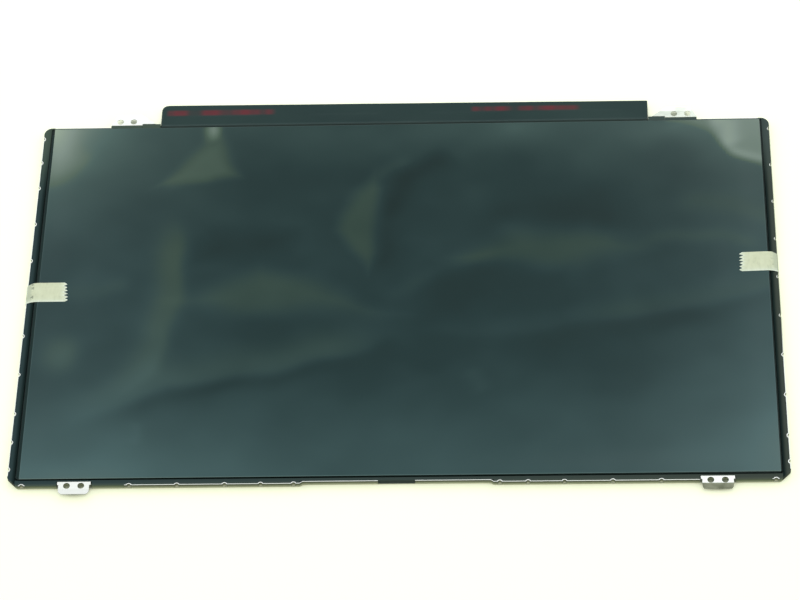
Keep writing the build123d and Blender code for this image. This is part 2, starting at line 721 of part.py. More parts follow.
def board_cover_film():
    """The black film over the driver films and the board, outer edge along the board's, one corner round."""
    foot = CELL_HEAD - DRIVER_BOND
    head = BOARD_HEAD + COVER_OUTER_MARGIN
    film = stepped_strip(2 * COVER_X, foot, head, COLOUR_Z + DRIVER_THICKNESS, COVER_THICKNESS)
    low = head + 2 * COVER_X * math.tan(math.radians(BOARD_TURN))
    plan = outline_of([(-COVER_X, foot), (COVER_X, foot), (COVER_X, low), (-COVER_X, head)])
    corners = [v for v in plan.vertices() if v.Y > BOARD_MIDDLE]
    plan = fillet([v for v in corners if v.X < 0], COVER_ROUND)
    square = [v for v in plan.vertices() if v.Y > BOARD_MIDDLE and v.X > BOARD_X]
    plan = fillet(square, COVER_SMALL_ROUND)
    return Pos(BOARD_SHIFT) * (film & slab(plan, 0, FILM_TOP))


def rear_part(x, y, size):
    """A block-shaped part on the rear face of the board."""
    length, width, height = size
    return block(x - length / 2, x + length / 2, y - width / 2, y + width / 2, BOARD_Z - height, BOARD_Z)


def power_inductors():
    """Moulded inductors, corners cut."""
    plan = cut_corners(Rectangle(INDUCTOR_SIZE, INDUCTOR_SIZE), INDUCTOR_CORNER)
    inductor = Pos(0, BOARD_MIDDLE) * slab(plan, BOARD_Z - INDUCTOR_HEIGHT, BOARD_Z)
    places = [LIGHT_INDUCTOR_FROM_END - BOARD_X, POWER_INDUCTOR_X]
    return Compound([Pos(x) * inductor.solid() for x in places])


def rows_of_parts(from_end, from_middle, size):
    """Small parts in two rows along the board, placed from its left end or from its middle."""
    xs = [x - BOARD_X for x in from_end] + list(from_middle)
    ys = [BOARD_MIDDLE - PART_ROW_SPREAD / 2, BOARD_MIDDLE + PART_ROW_SPREAD / 2]
    return Compound([rear_part(x, y, size).solid() for x in xs for y in ys])


# Signal socket, mouth facing out over the head edge

SOCKET_HEAD = BOARD_HEAD - SOCKET_EDGE
SOCKET_FOOT = SOCKET_HEAD - SOCKET_DEPTH
SOCKET_BACK = BOARD_Z - CONTACT_THICKNESS - SOCKET_HEIGHT
CONTACT_RUN = CONTACT_COUNT * CONTACT_PITCH


def signal_socket_housing():
    """Moulded body on two end feet, open along its mouth to the contacts that lie on the board."""
    half, mouth = SOCKET_LENGTH / 2, CONTACT_RUN / 2
    top = BOARD_Z - CONTACT_THICKNESS
    body = block(-half, half, SOCKET_FOOT, SOCKET_HEAD, SOCKET_BACK, BOARD_Z)
    body -= block(-mouth, mouth, SOCKET_FOOT, SOCKET_HEAD, top, BOARD_Z)
    body -= block(
        -mouth, mouth, SOCKET_HEAD - SOCKET_MOUTH_DEPTH, SOCKET_HEAD, top - SOCKET_MOUTH_HEIGHT, top
    )
    return Pos(SOCKET_X) * body


def signal_socket_shell():
    """Folded sheet over the back and both ends of the housing."""
    half = SOCKET_LENGTH / 2
    wall = SHELL_THICKNESS
    shell = block(-half - wall, half + wall, SOCKET_FOOT, SOCKET_HEAD, SOCKET_BACK - wall, BOARD_Z)
    shell -= block(-half, half, SOCKET_FOOT, SOCKET_HEAD, SOCKET_BACK, BOARD_Z)
    return Pos(SOCKET_X) * shell


def signal_socket_contacts():
    """Flat contacts between the board and the housing, with solder feet behind it."""
    contact = block(
        -CONTACT_WIDTH / 2,
        CONTACT_WIDTH / 2,
        SOCKET_FOOT - CONTACT_FOOT,
        SOCKET_HEAD - CONTACT_PITCH,
        BOARD_Z - CONTACT_THICKNESS,
        BOARD_Z,
    )
    first = SOCKET_X - CONTACT_RUN / 2 + CONTACT_PITCH / 2
    return Compound([Pos(first + n * CONTACT_PITCH) * contact.solid() for n in range(CONTACT_COUNT)])


# Clear film and its tape


def protective_film():
    """The clear film, out over the cell's ledge at the head."""
    plan = patch(FILM_SHIFT - FILM_X, FILM_SHIFT + FILM_X, FILM_FOOT, FILM_HEAD)
    return slab(fillet(plan.vertices(), FILM_ROUND), FACE_Z, FILM_TOP)


def film_tape(side, y, reach):
    """Tape from the film over the rim, round the wall and under the margin, its free end torn to teeth."""
    edge, thick = HALF_WIDTH, TAPE_THICKNESS
    inner = [
        (edge - reach, FILM_TOP),
        (POLARISER_X, FILM_TOP),
        (edge, RIM_Z),
        (edge, MARGIN_Z),
        (edge - TAPE_UNDER, MARGIN_Z),
    ]
    outer = [
        (edge - TAPE_UNDER, MARGIN_Z - thick),
        (edge + thick, MARGIN_Z - thick),
        (edge + thick, RIM_Z + thick),
        (POLARISER_X, FILM_TOP + thick),
        (edge - reach, FILM_TOP + thick),
    ]
    strip = extrude(Plane.XZ * outline_of(inner + outer), TAPE_WIDTH / 2, both=True)
    tooth = TAPE_WIDTH / TAPE_TEETH
    free = edge - reach
    for n in range(TAPE_TEETH):
        start = n * tooth - TAPE_WIDTH / 2
        notch = [(free, start), (free + TAPE_TOOTH_DEPTH, start + tooth / 2), (free, start + tooth)]
        strip -= slab(outline_of(notch), FACE_Z, FILM_TOP + 2 * thick)
    turned = strip if side > 0 else Rot(0, 0, 180) * strip
    return Pos(0, y, 0) * turned


def all_parts():
    """Every separate piece by its name."""
    cell = (CELL_X, CELL_FOOT)
    polariser = (POLARISER_X, POLARISER_FOOT, POLARISER_HEAD)
    parts = {
        "rear_cover": rear_cover(),
        "mould_frame": mould_frame(),
        "reflector_sheet": reflector_sheet(),
        "light_guide_plate": light_guide_plate(),
        "diffuser_sheet": diffuser_sheet(),
        "lower_prism_sheet": prism_sheet(LOWER_PRISM_Z),
        "upper_prism_sheet": prism_sheet(UPPER_PRISM_Z),
        "led_flex_strip": led_flex_strip(),
        "leds": leds(),
        "rim_tape": rim_tape(),
        "rear_polariser": cell_sheet(*polariser, CELL_Z, POLARISER_THICKNESS),
        "array_glass": cell_sheet(*cell, CELL_HEAD, ARRAY_Z, GLASS_THICKNESS),
        "colour_filter_glass": cell_sheet(*cell, COLOUR_HEAD, COLOUR_Z, GLASS_THICKNESS),
        "front_polariser": cell_sheet(*polariser, FRONT_Z, POLARISER_THICKNESS),
        "driver_chips": driver_chips(),
        "control_board": askew(control_board()),
        "board_cover_film": board_cover_film(),
        "timing_chip": askew(rear_part(0, BOARD_MIDDLE, TIMING_CHIP)),
        "light_driver_chip": askew(rear_part(LIGHT_CHIP_FROM_END - BOARD_X, BOARD_MIDDLE, LIGHT_CHIP)),
        "power_chip": askew(rear_part(POWER_CHIP_X, BOARD_MIDDLE, POWER_CHIP)),
        "memory_chip": askew(rear_part(MEMORY_CHIP_X, BOARD_MIDDLE, MEMORY_CHIP)),
        "power_inductors": askew(power_inductors()),
        "capacitors": askew(rows_of_parts(CAPACITORS_FROM_END, CAPACITOR_XS, CAPACITOR)),
        "resistors": askew(rows_of_parts(RESISTORS_FROM_END, RESISTOR_XS, RESISTOR)),
        "signal_socket_housing": askew(signal_socket_housing()),
        "signal_socket_shell": askew(signal_socket_shell()),
        "signal_socket_contacts": askew(signal_socket_contacts()),
        "protective_film": protective_film(),
        "film_tape_left": film_tape(-1, LEFT_TAPE_Y, LEFT_TAPE_REACH),
        "film_tape_right": film_tape(1, RIGHT_TAPE_Y, RIGHT_TAPE_REACH),
    }
    for n, x in enumerate(driver_xs(), start=1):
        parts[f"driver_film_{n}"] = driver_film(x)
    return parts


os.makedirs("parts", exist_ok=True)
for name, part in all_parts().items():
    export_step(part, f"parts/{name}.step")
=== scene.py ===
import bmesh
import bpy
import numpy as np
from mathutils import Matrix, Vector, noise


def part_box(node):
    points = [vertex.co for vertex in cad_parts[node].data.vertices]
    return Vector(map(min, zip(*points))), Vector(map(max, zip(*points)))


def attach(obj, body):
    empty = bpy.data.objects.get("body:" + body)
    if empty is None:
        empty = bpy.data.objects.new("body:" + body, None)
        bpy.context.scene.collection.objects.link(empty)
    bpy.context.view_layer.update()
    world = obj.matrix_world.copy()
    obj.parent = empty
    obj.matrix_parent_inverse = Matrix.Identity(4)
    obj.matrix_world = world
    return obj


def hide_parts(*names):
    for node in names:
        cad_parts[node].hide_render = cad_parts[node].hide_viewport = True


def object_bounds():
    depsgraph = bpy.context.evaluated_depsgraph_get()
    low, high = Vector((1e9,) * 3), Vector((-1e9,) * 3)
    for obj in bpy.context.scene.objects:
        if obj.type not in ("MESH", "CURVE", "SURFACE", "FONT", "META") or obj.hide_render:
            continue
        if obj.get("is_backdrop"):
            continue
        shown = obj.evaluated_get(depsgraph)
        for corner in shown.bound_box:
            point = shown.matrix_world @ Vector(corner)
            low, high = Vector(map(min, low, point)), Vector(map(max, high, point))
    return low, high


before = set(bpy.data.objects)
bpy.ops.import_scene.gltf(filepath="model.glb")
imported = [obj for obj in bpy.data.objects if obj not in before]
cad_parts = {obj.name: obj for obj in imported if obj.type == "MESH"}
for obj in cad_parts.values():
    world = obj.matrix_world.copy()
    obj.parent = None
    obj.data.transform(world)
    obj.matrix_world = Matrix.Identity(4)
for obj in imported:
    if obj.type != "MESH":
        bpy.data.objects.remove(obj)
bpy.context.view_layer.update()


# Rear cover
# The back of the panel is one tray of thin bright rolled steel. Its walls are folded up and pressed with
# dimples that snap into the frame, and four fixing tabs are turned out of them.

def colour(red, green, blue):
    """A colour as seen on a screen, 0 to 255, as the linear values that a shader takes."""
    parts = [c / 255 for c in (red, green, blue)]
    return [c / 12.92 if c <= 0.04045 else ((c + 0.055) / 1.055) ** 2.4 for c in parts] + [1.0]


def new_finish(name, roughness, metallic=0.0, **fixed):
    """A node material with its tree, its shader and the piece's own coordinates."""
    material = bpy.data.materials.new(name)
    material.use_nodes = True
    tree = material.node_tree
    shader = tree.nodes["Principled BSDF"]
    shader.inputs["Roughness"].default_value = roughness
    shader.inputs["Metallic"].default_value = metallic
    for socket, value in fixed.items():
        shader.inputs[socket.replace("_", " ")].default_value = value
    return material, tree, shader, tree.nodes.new("ShaderNodeTexCoord").outputs["Object"]


def mottle(tree, place, size, stretch=(1, 1, 1), detail=3.0):
    """Soft random patches about size metres across, drawn out along an axis by a small stretch."""
    mapping = tree.nodes.new("ShaderNodeMapping")
    mapping.inputs["Scale"].default_value = [s / size for s in stretch]
    tree.links.new(place, mapping.inputs["Vector"])
    texture = tree.nodes.new("ShaderNodeTexNoise")
    texture.inputs["Scale"].default_value = 1.0
    texture.inputs["Detail"].default_value = detail
    tree.links.new(mapping.outputs["Vector"], texture.inputs["Vector"])
    return texture.outputs["Fac"]


def tint(tree, value, *stops):
    """A value from 0 to 1 as a colour, through stops of (place, colour)."""
    ramp = tree.nodes.new("ShaderNodeValToRGB")
    elements = ramp.color_ramp.elements
    for n, (at, shade) in enumerate(stops):
        element = elements[n] if n < 2 else elements.new(at)
        element.position, element.color = at, colour(*shade)
    tree.links.new(value, ramp.inputs["Fac"])
    return ramp.outputs["Color"]


def between(tree, value, low, high, start=0.0, end=1.0, smooth=True):
    """A value as it goes from low to high, turned into start to end and held there outside."""
    node = tree.nodes.new("ShaderNodeMapRange")
    node.interpolation_type = "SMOOTHSTEP" if smooth else "LINEAR"
    for socket, number in zip(("From Min", "From Max", "To Min", "To Max"), (low, high, start, end)):
        node.inputs[socket].default_value = number
    tree.links.new(value, node.inputs["Value"])
    return node.outputs["Result"]


def maths(tree, operation, first, second):
    """Two values, or a value and a number, put together."""
    node = tree.nodes.new("ShaderNodeMath")
    node.operation = operation
    for socket, given in zip(node.inputs, (first, second)):
        if isinstance(given, (int, float)):
            socket.default_value = given
        else:
            tree.links.new(given, socket)
    return node.outputs["Value"]


def times(tree, first, *others):
    """Values and numbers multiplied together."""
    for other in others:
        first = maths(tree, "MULTIPLY", first, other)
    return first


def relief(tree, shader, height, depth, strength=1.0):
    """A height of 0 to 1, depth metres deep, as the surface's fine relief."""
    bump = tree.nodes.new("ShaderNodeBump")
    bump.inputs["Strength"].default_value = strength
    bump.inputs["Distance"].default_value = depth
    tree.links.new(height, bump.inputs["Height"])
    tree.links.new(bump.outputs["Normal"], shader.inputs["Normal"])


def split(tree, vector):
    """The three parts of a vector."""
    node = tree.nodes.new("ShaderNodeSeparateXYZ")
    tree.links.new(vector, node.inputs["Vector"])
    return node.outputs


def mixed(tree, share, first, second):
    """Two colours put together, the second one by its share."""
    node = tree.nodes.new("ShaderNodeMix")
    node.data_type = "RGBA"
    tree.links.new(share, node.inputs["Factor"])
    tree.links.new(first, node.inputs[6])
    tree.links.new(second, node.inputs[7])
    return node.outputs[2]


def dress(material, *nodes):
    """Gives CAD nodes their finish."""
    for node in nodes:
        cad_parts[node].data.materials.clear()
        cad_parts[node].data.materials.append(material)


wall_foot, wall_top = 0.0001, 0.0025
right_edge, right_edge_shade = (0.1592, 0.1598), (-0.040, -0.012)
foot_right_tab, foot_fold = (0.120, 0.122), (-0.0957, -0.0953)
head_right_tab, head_fold = (0.100, 0.110), (0.0942, 0.0946)

steel, tree, shader, place = new_finish("rolled_steel", 0.3, 1.0)
grain = mottle(tree, place, 0.0005, (0.03, 1, 1), 4.0)
stain = mottle(tree, place, 0.03, detail=2.0)
cloud = maths(tree, "ADD", times(tree, grain, 0.45), times(tree, stain, 0.55))
facing = split(tree, tree.nodes.new("ShaderNodeNewGeometry").outputs["True Normal"])
spot = split(tree, place)
level = between(tree, maths(tree, "ABSOLUTE", facing["Z"], 0.0), 0.1, 0.8)
sheet = tint(tree, cloud, (0.3, (236, 237, 232)), (0.7, (252, 252, 249)))
# Painted shade and painted reflection: the walls' standing faces are drawn dark olive near their top and paler
# towards the table, as if mirroring it.
wall_shade_height = between(tree, spot["Z"], wall_foot, wall_top, smooth=False)
wall_shade_height = maths(tree, "ADD", wall_shade_height, times(tree, cloud, 0.1))
wall = tint(
    tree, wall_shade_height, (0.05, (235, 236, 222)), (0.4, (172, 176, 156)), (0.7, (118, 123, 106)), (0.9, (86, 92, 78)),
    (1.0, (104, 110, 94)),
)
shaded_edge = tint(tree, cloud, (0.3, (104, 110, 94)), (0.7, (120, 125, 108)))
on_edge = times(
    tree, between(tree, spot["X"], *right_edge), between(tree, spot["Y"], *right_edge_shade),
    between(tree, spot["Z"], wall_top, wall_top + 0.00006),
)
skin = mixed(tree, on_edge, mixed(tree, level, wall, sheet), shaded_edge)
# Painted shade: the bent-down outer part of the foot's right tab is drawn grey, and the head's right tab
# beyond its fold light grey.
tab_mottling = mottle(tree, place, 0.0035, (0.6, 1, 1), 3.0)
bent_tab_shade = tint(tree, tab_mottling, (0.35, (128, 133, 116)), (0.6, (168, 172, 156)))
on_bend = times(
    tree, between(tree, spot["X"], *foot_right_tab), between(tree, spot["Y"], *foot_fold, 1.0, 0.0)
)
skin = mixed(tree, on_bend, skin, bent_tab_shade)
head_tab_shade = tint(tree, tab_mottling, (0.35, (208, 213, 202)), (0.6, (226, 230, 219)))
on_head_tab = times(tree, between(tree, spot["X"], *head_right_tab), between(tree, spot["Y"], *head_fold))
skin = mixed(tree, on_head_tab, skin, head_tab_shade)
tree.links.new(skin, shader.inputs["Base Color"])
tree.links.new(between(tree, cloud, 0.3, 0.7, 0.40, 0.27), shader.inputs["Roughness"])
relief(tree, shader, grain, 0.000006, 0.35)
dress(steel, "rear_cover")


# Moulded frame
# A black moulded ring of satin plastic sits inside the tray, locked by the wall dimples. Its shelf carries
# the glass cell, and its rim is the dark border round the display.

half_width = 0.16
foot_rim, foot_front, upright = (-0.0940, -0.0926), (-0.0936, -0.0934), (0.2, 0.5)
frame_foot, frame_top = 0.0004, 0.0026
head_end, groove_inner, groove_outer = (0.050, 0.088), (0.1566, 0.1570), (0.1572, 0.1590)

frame_black, tree, shader, place = new_finish("satin_black_frame", 0.42, Specular_IOR_Level=0.06)
spark = mottle(tree, place, 0.00016, detail=2.0)
flow = mottle(tree, place, 0.02, (0.4, 1, 1))
spot = split(tree, place)
from_middle = maths(tree, "ABSOLUTE", spot["X"], 0.0)
# Painted light: the rim is drawn lighter towards the right, where more light falls, lighter along the foot and
# lighter near the head.
across = between(tree, spot["X"], -half_width, half_width, 0.0, 0.85, smooth=False)
across = maths(tree, "ADD", across, times(tree, flow, 0.15))
rail = tint(tree, across, (0.05, (44, 62, 65)), (0.95, (62, 70, 64)))
outer = tint(tree, across, (0.05, (66, 80, 74)), (0.95, (76, 83, 72)))
rail = mixed(tree, between(tree, spot["Y"], *foot_rim, 1.0, 0.0), rail, outer)
facing = split(tree, tree.nodes.new("ShaderNodeNewGeometry").outputs["True Normal"])
# Painted reflection: the frame's standing face at the foot is drawn pale near the table and dark towards its
# top.
foot_face = times(
    tree, between(tree, spot["Y"], *foot_front, 1.0, 0.0), between(tree, facing["Z"], *upright, 1.0, 0.0)
)
foot_face_reflection = tint(
    tree, between(tree, spot["Z"], frame_foot, frame_top, smooth=False),
    (0.0, (186, 192, 170)), (0.4, (134, 142, 120)), (0.75, (98, 110, 92)), (1.0, (84, 98, 84)),
)
rail = mixed(tree, foot_face, rail, foot_face_reflection)
near_head = between(tree, spot["Y"], *head_end)
rail = mixed(tree, near_head, rail, tint(tree, across, (0.05, (72, 87, 77)), (0.95, (64, 77, 76))))
# Painted shade: the recess beside the glass is drawn near black, less so near the head.
recess_shade = tint(tree, flow, (0.3, (6, 24, 24)), (0.7, (12, 32, 31)))
by_glass = times(
    tree, between(tree, from_middle, *groove_inner), between(tree, from_middle, *groove_outer, 1.0, 0.0),
    between(tree, spot["Y"], *head_end, 1.0, 0.2),
)
tree.links.new(mixed(tree, by_glass, rail, recess_shade), shader.inputs["Base Color"])
tree.links.new(between(tree, spark, 0.3, 0.7, 0.36, 0.52), shader.inputs["Roughness"])
relief(tree, shader, spark, 0.000012, 0.5)
dress(frame_black, "mould_frame")


# Light stack
# A white reflector, a clear acrylic light guide with printed dots and three milky films lie loose on each
# other inside the frame. The films are cut to fit its recess.

reflector_white, tree, shader, place = new_finish("reflector_white", 0.35)
fibre = mottle(tree, place, 0.002)
tree.links.new(tint(tree, fibre, (0.3, (236, 239, 240)), (0.7, (246, 248, 249))), shader.inputs["Base Color"])
relief(tree, shader, fibre, 0.00001, 0.3)
dress(reflector_white, "reflector_sheet")

guide_clear, tree, shader, place = new_finish("guide_acrylic", 0.08, Transmission_Weight=0.9, IOR=1.49)
dots = tree.nodes.new("ShaderNodeTexVoronoi")
dots.inputs["Scale"].default_value = 900.0
dots.inputs["Randomness"].default_value = 0.1
tree.links.new(place, dots.inputs["Vector"])
dot = between(tree, dots.outputs["Distance"], 0.22, 0.3, 1.0, 0.0)
tree.links.new(tint(tree, dot, (0.0, (236, 246, 246)), (1.0, (250, 252, 252))), shader.inputs["Base Color"])
tree.links.new(between(tree, dot, 0, 1, 0.06, 0.5), shader.inputs["Roughness"])
dress(guide_clear, "light_guide_plate")

sheet_milky, tree, shader, place = new_finish("milky_film", 0.5, Transmission_Weight=0.35)
prism = tree.nodes.new("ShaderNodeTexWave")
prism.inputs["Scale"].default_value = 3000.0
prism.bands_direction = "Y"
tree.links.new(place, prism.inputs["Vector"])
milk = tint(tree, mottle(tree, place, 0.01), (0.3, (228, 234, 236)), (0.7, (240, 244, 246)))
tree.links.new(milk, shader.inputs["Base Color"])
relief(tree, shader, prism.outputs["Fac"], 0.00002, 0.4)
dress(sheet_milky, "diffuser_sheet", "lower_prism_sheet", "upper_prism_sheet")


# Light strip
# White lamps in ivory packages are soldered to an amber flexible strip along the head edge. Its tail passes
# out of the tray to the control board.

flex_amber, tree, shader, place = new_finish("amber_flex", 0.32, IOR=1.6)
tracks = tree.nodes.new("ShaderNodeTexBrick")
tracks.inputs["Scale"].default_value = 260.0
tracks.inputs["Mortar Size"].default_value = 0.06
tracks.inputs["Color1"].default_value = colour(188, 116, 38)
tracks.inputs["Color2"].default_value = colour(176, 104, 30)
tracks.inputs["Mortar"].default_value = colour(140, 84, 26)
tree.links.new(place, tracks.inputs["Vector"])
tree.links.new(tracks.outputs["Color"], shader.inputs["Base Color"])
relief(tree, shader, tracks.outputs["Fac"], 0.00001, 0.5)
dress(flex_amber, "led_flex_strip")

led_body, tree, shader, place = new_finish("lamp_package", 0.35)
phosphor = tint(tree, mottle(tree, place, 0.0012), (0.35, (240, 226, 150)), (0.65, (246, 240, 214)))
tree.links.new(phosphor, shader.inputs["Base Color"])
dress(led_body, "leds")


# Rim tape
# A ring of black double-sided tape on the frame's shelf holds the glass cell. It is die-cut thin foam.

tape_black, tree, shader, place = new_finish("black_rim_tape", 0.7, Specular_IOR_Level=0.2)
foam = mottle(tree, place, 0.0004)
tree.links.new(tint(tree, foam, (0.3, (16, 17, 18)), (0.7, (27, 28, 30))), shader.inputs["Base Color"])
relief(tree, shader, foam, 0.00002, 0.6)
dress(tape_black, "rim_tape")


# Glass cell
# Two bonded sheets of thin glass between two dark polarising films make the display itself. The rear glass is
# longer at the head, where the driver films are bonded to it.

polariser, tree, shader, place = new_finish("polariser_film", 0.2, Specular_IOR_Level=0.05)
film = mottle(tree, place, 0.06, detail=1.0)
tree.links.new(tint(tree, film, (0.3, (30, 46, 46)), (0.7, (36, 52, 51))), shader.inputs["Base Color"])
tree.links.new(between(tree, mottle(tree, place, 0.0003), 0.3, 0.7, 0.16, 0.26), shader.inputs["Roughness"])
dress(polariser, "rear_polariser", "front_polariser")

cell_glass, tree, shader, place = new_finish(
    "cell_glass", 0.08, Specular_IOR_Level=0.05, Transmission_Weight=0.3
)
edge = mottle(tree, place, 0.004, (1, 1, 0.1))
tree.links.new(tint(tree, edge, (0.3, (24, 40, 40)), (0.7, (34, 52, 51))), shader.inputs["Base Color"])
tree.links.new(between(tree, edge, 0.3, 0.7, 0.03, 0.12), shader.inputs["Roughness"])
dress(cell_glass, "array_glass", "colour_filter_glass")


# Driver films
# Four amber flexible films with a long black driver chip each join the cell's ledge to the control board.
# They are bonded under heat at both ends.

driver_amber, tree, shader, place = new_finish("driver_film_amber", 0.3, IOR=1.6)
leads = tree.nodes.new("ShaderNodeTexWave")
leads.inputs["Scale"].default_value = 1600.0
leads.bands_direction = "X"
tree.links.new(place, leads.inputs["Vector"])
amber = tint(tree, leads.outputs["Fac"], (0.4, (150, 104, 40)), (0.6, (190, 142, 62)))
tree.links.new(amber, shader.inputs["Base Color"])
relief(tree, shader, leads.outputs["Fac"], 0.000008, 0.5)
dress(driver_amber, "driver_film_1", "driver_film_2", "driver_film_3", "driver_film_4")

chip_black, tree, shader, place = new_finish("moulded_chip", 0.55, Specular_IOR_Level=0.35)
sand = mottle(tree, place, 0.00012, detail=2.0)
resin = tint(tree, mottle(tree, place, 0.0016), (0.3, (34, 34, 36)), (0.7, (50, 50, 52)))
tree.links.new(resin, shader.inputs["Base Color"])
tree.links.new(between(tree, sand, 0.3, 0.7, 0.45, 0.66), shader.inputs["Roughness"])
relief(tree, shader, sand, 0.000015, 0.6)
dress(chip_black, "driver_chips", "timing_chip", "light_driver_chip", "power_chip", "memory_chip")


# Control board
# A long narrow circuit board of glass and resin under green solder mask lies beyond the head edge. Copper
# tracks show through the mask as raised lines.

board_green, tree, shader, place = new_finish("green_solder_mask", 0.34, IOR=1.55)
copper = tree.nodes.new("ShaderNodeTexBrick")
copper.offset = 0.35
copper.inputs["Scale"].default_value = 420.0
copper.inputs["Mortar Size"].default_value = 0.11
copper.inputs["Brick Width"].default_value = 2.6
copper.inputs["Color1"].default_value = colour(22, 96, 58)
copper.inputs["Color2"].default_value = colour(18, 84, 50)
copper.inputs["Mortar"].default_value = colour(46, 132, 78)
tree.links.new(place, copper.inputs["Vector"])
tree.links.new(copper.outputs["Color"], shader.inputs["Base Color"])
relief(tree, shader, copper.outputs["Fac"], 0.00002, 0.4)
dress(board_green, "control_board")


# Small parts on the board
# Tan ceramic capacitors, black resistors and grey coils are soldered in rows on the board's rear face. Each
# has a fired body between two tinned end caps.

def boxes_of(node):
    """Centre and size of each separate solid in a CAD node."""
    shape = bmesh.new()
    shape.from_mesh(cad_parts[node].data)
    bmesh.ops.remove_doubles(shape, verts=shape.verts, dist=1e-7)
    found, seen = [], set()
    for first in shape.verts:
        if first in seen:
            continue
        group, queue = [], [first]
        seen.add(first)
        while queue:
            vert = queue.pop()
            group.append(vert.co.copy())
            for near in (e.other_vert(vert) for e in vert.link_edges):
                if near not in seen:
                    seen.add(near)
                    queue.append(near)
        low = Vector([min(c[k] for c in group) for k in range(3)])
        high = Vector([max(c[k] for c in group) for k in range(3)])
        found.append(((low + high) / 2, high - low))
    shape.free()
    return found


def bevelled_block(name, sections, rounding):
    """Blocks of a unit part, each (low, high), with rounded edges, as one hidden pattern object."""
    shape = bmesh.new()
    for low, high in sections:
        middle = [(a + b) / 2 for a, b in zip(low, high)]
        size = [b - a for a, b in zip(low, high)]
        made = bmesh.ops.create_cube(shape, size=1.0)
        placed = Matrix.Translation(middle) @ Matrix.Diagonal((*size, 1))
        bmesh.ops.transform(shape, matrix=placed, verts=made["verts"])
    bmesh.ops.bevel(shape, geom=shape.edges[:], offset=rounding, segments=2, profile=0.5, affect="EDGES")
    mesh = bpy.data.meshes.new(name)
    shape.to_mesh(mesh)
    shape.free()
    return bpy.data.objects.new(name, mesh)


def row_tree():
    """Geometry nodes that put a body and its end caps on every point, at the size that the point carries."""
    made = bpy.data.node_groups.new("soldered_row", "GeometryNodeTree")
    face = made.interface
    face.new_socket("Points", in_out="INPUT", socket_type="NodeSocketGeometry")
    for label in ("Body", "End caps"):
        face.new_socket(label, in_out="INPUT", socket_type="NodeSocketObject")
    for label in ("Body finish", "Cap finish"):
        face.new_socket(label, in_out="INPUT", socket_type="NodeSocketMaterial")
    face.new_socket("Parts", in_out="OUTPUT", socket_type="NodeSocketGeometry")
    given, out = made.nodes.new("NodeGroupInput"), made.nodes.new("NodeGroupOutput")
    size = made.nodes.new("GeometryNodeInputNamedAttribute")
    size.data_type = "FLOAT_VECTOR"
    size.inputs["Name"].default_value = "part_size"
    joined = made.nodes.new("GeometryNodeJoinGeometry")
    for pattern, surface in (("Body", "Body finish"), ("End caps", "Cap finish")):
        info = made.nodes.new("GeometryNodeObjectInfo")
        placed = made.nodes.new("GeometryNodeInstanceOnPoints")
        real = made.nodes.new("GeometryNodeRealizeInstances")
        painted = made.nodes.new("GeometryNodeSetMaterial")
        made.links.new(given.outputs[pattern], info.inputs["Object"])
        made.links.new(given.outputs["Points"], placed.inputs["Points"])
        made.links.new(info.outputs["Geometry"], placed.inputs["Instance"])
        made.links.new(size.outputs["Attribute"], placed.inputs["Scale"])
        made.links.new(placed.outputs["Instances"], real.inputs["Geometry"])
        made.links.new(real.outputs["Geometry"], painted.inputs["Geometry"])
        made.links.new(given.outputs[surface], painted.inputs["Material"])
        made.links.new(painted.outputs["Geometry"], joined.inputs["Geometry"])
    made.links.new(joined.outputs["Geometry"], out.inputs["Parts"])
    return made


def solder_row(tree_made, name, node, body, caps, body_finish, cap_finish):
    """Rebuilds a CAD node of small parts as a row of detailed ones, each in its own part's box."""
    boxes = boxes_of(node)
    points = bpy.data.meshes.new(name + "_points")
    points.from_pydata([c for c, _ in boxes], [], [])
    sizes = points.attributes.new("part_size", "FLOAT_VECTOR", "POINT")
    sizes.data.foreach_set("vector", [x for _, s in boxes for x in s])
    row = bpy.data.objects.new(name + "_row", points)
    bpy.context.scene.collection.objects.link(row)
    modifier = row.modifiers.new("row", "NODES")
    modifier.node_group = tree_made
    given = {"Body": body, "End caps": caps, "Body finish": body_finish, "Cap finish": cap_finish}
    for socket in tree_made.interface.items_tree:
        if socket.in_out == "INPUT" and socket.name in given:
            modifier[socket.identifier] = given[socket.name]
    bpy.context.view_layer.update()
    mesh = bpy.data.meshes.new_from_object(row.evaluated_get(bpy.context.evaluated_depsgraph_get()))
    bpy.data.objects.remove(row)
    piece = bpy.data.objects.new(name, mesh)
    bpy.context.scene.collection.objects.link(piece)
    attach(piece, "root")
    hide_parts(node)
    return piece


solder, tree, shader, place = new_finish("tinned_cap", 0.3, 1.0)
cap_skin = mottle(tree, place, 0.0003)
tin = tint(tree, cap_skin, (0.3, (190, 192, 190)), (0.7, (222, 223, 220)))
tree.links.new(tin, shader.inputs["Base Color"])
tree.links.new(between(tree, cap_skin, 0.3, 0.7, 0.24, 0.4), shader.inputs["Roughness"])
ceramics = {}
for name, dark, light, rough in (
    ("capacitor_ceramic", (168, 134, 98), (194, 160, 122), 0.45),
    ("resistor_glaze", (42, 43, 45), (58, 59, 62), 0.3),
    ("coil_ferrite", (92, 93, 96), (116, 117, 120), 0.6),
):
    ceramics[name], tree, shader, place = new_finish(name, rough)
    fired = mottle(tree, place, 0.0002)
    tree.links.new(tint(tree, fired, (0.3, dark), (0.7, light)), shader.inputs["Base Color"])
    relief(tree, shader, fired, 0.00001, 0.5)
soldered_row = row_tree()
cap_ends = bevelled_block(
    "cap_ends", [((-0.5, -0.5, -0.5), (-0.26, 0.5, 0.5)), ((0.26, -0.5, -0.5), (0.5, 0.5, 0.5))], 0.05
)
ceramic_middle = bevelled_block("ceramic_middle", [((-0.3, -0.46, -0.44), (0.3, 0.46, 0.5))], 0.04)
coil_ends = bevelled_block(
    "coil_ends", [((-0.5, -0.36, 0.1), (-0.4, 0.36, 0.5)), ((0.4, -0.36, 0.1), (0.5, 0.36, 0.5))], 0.03
)
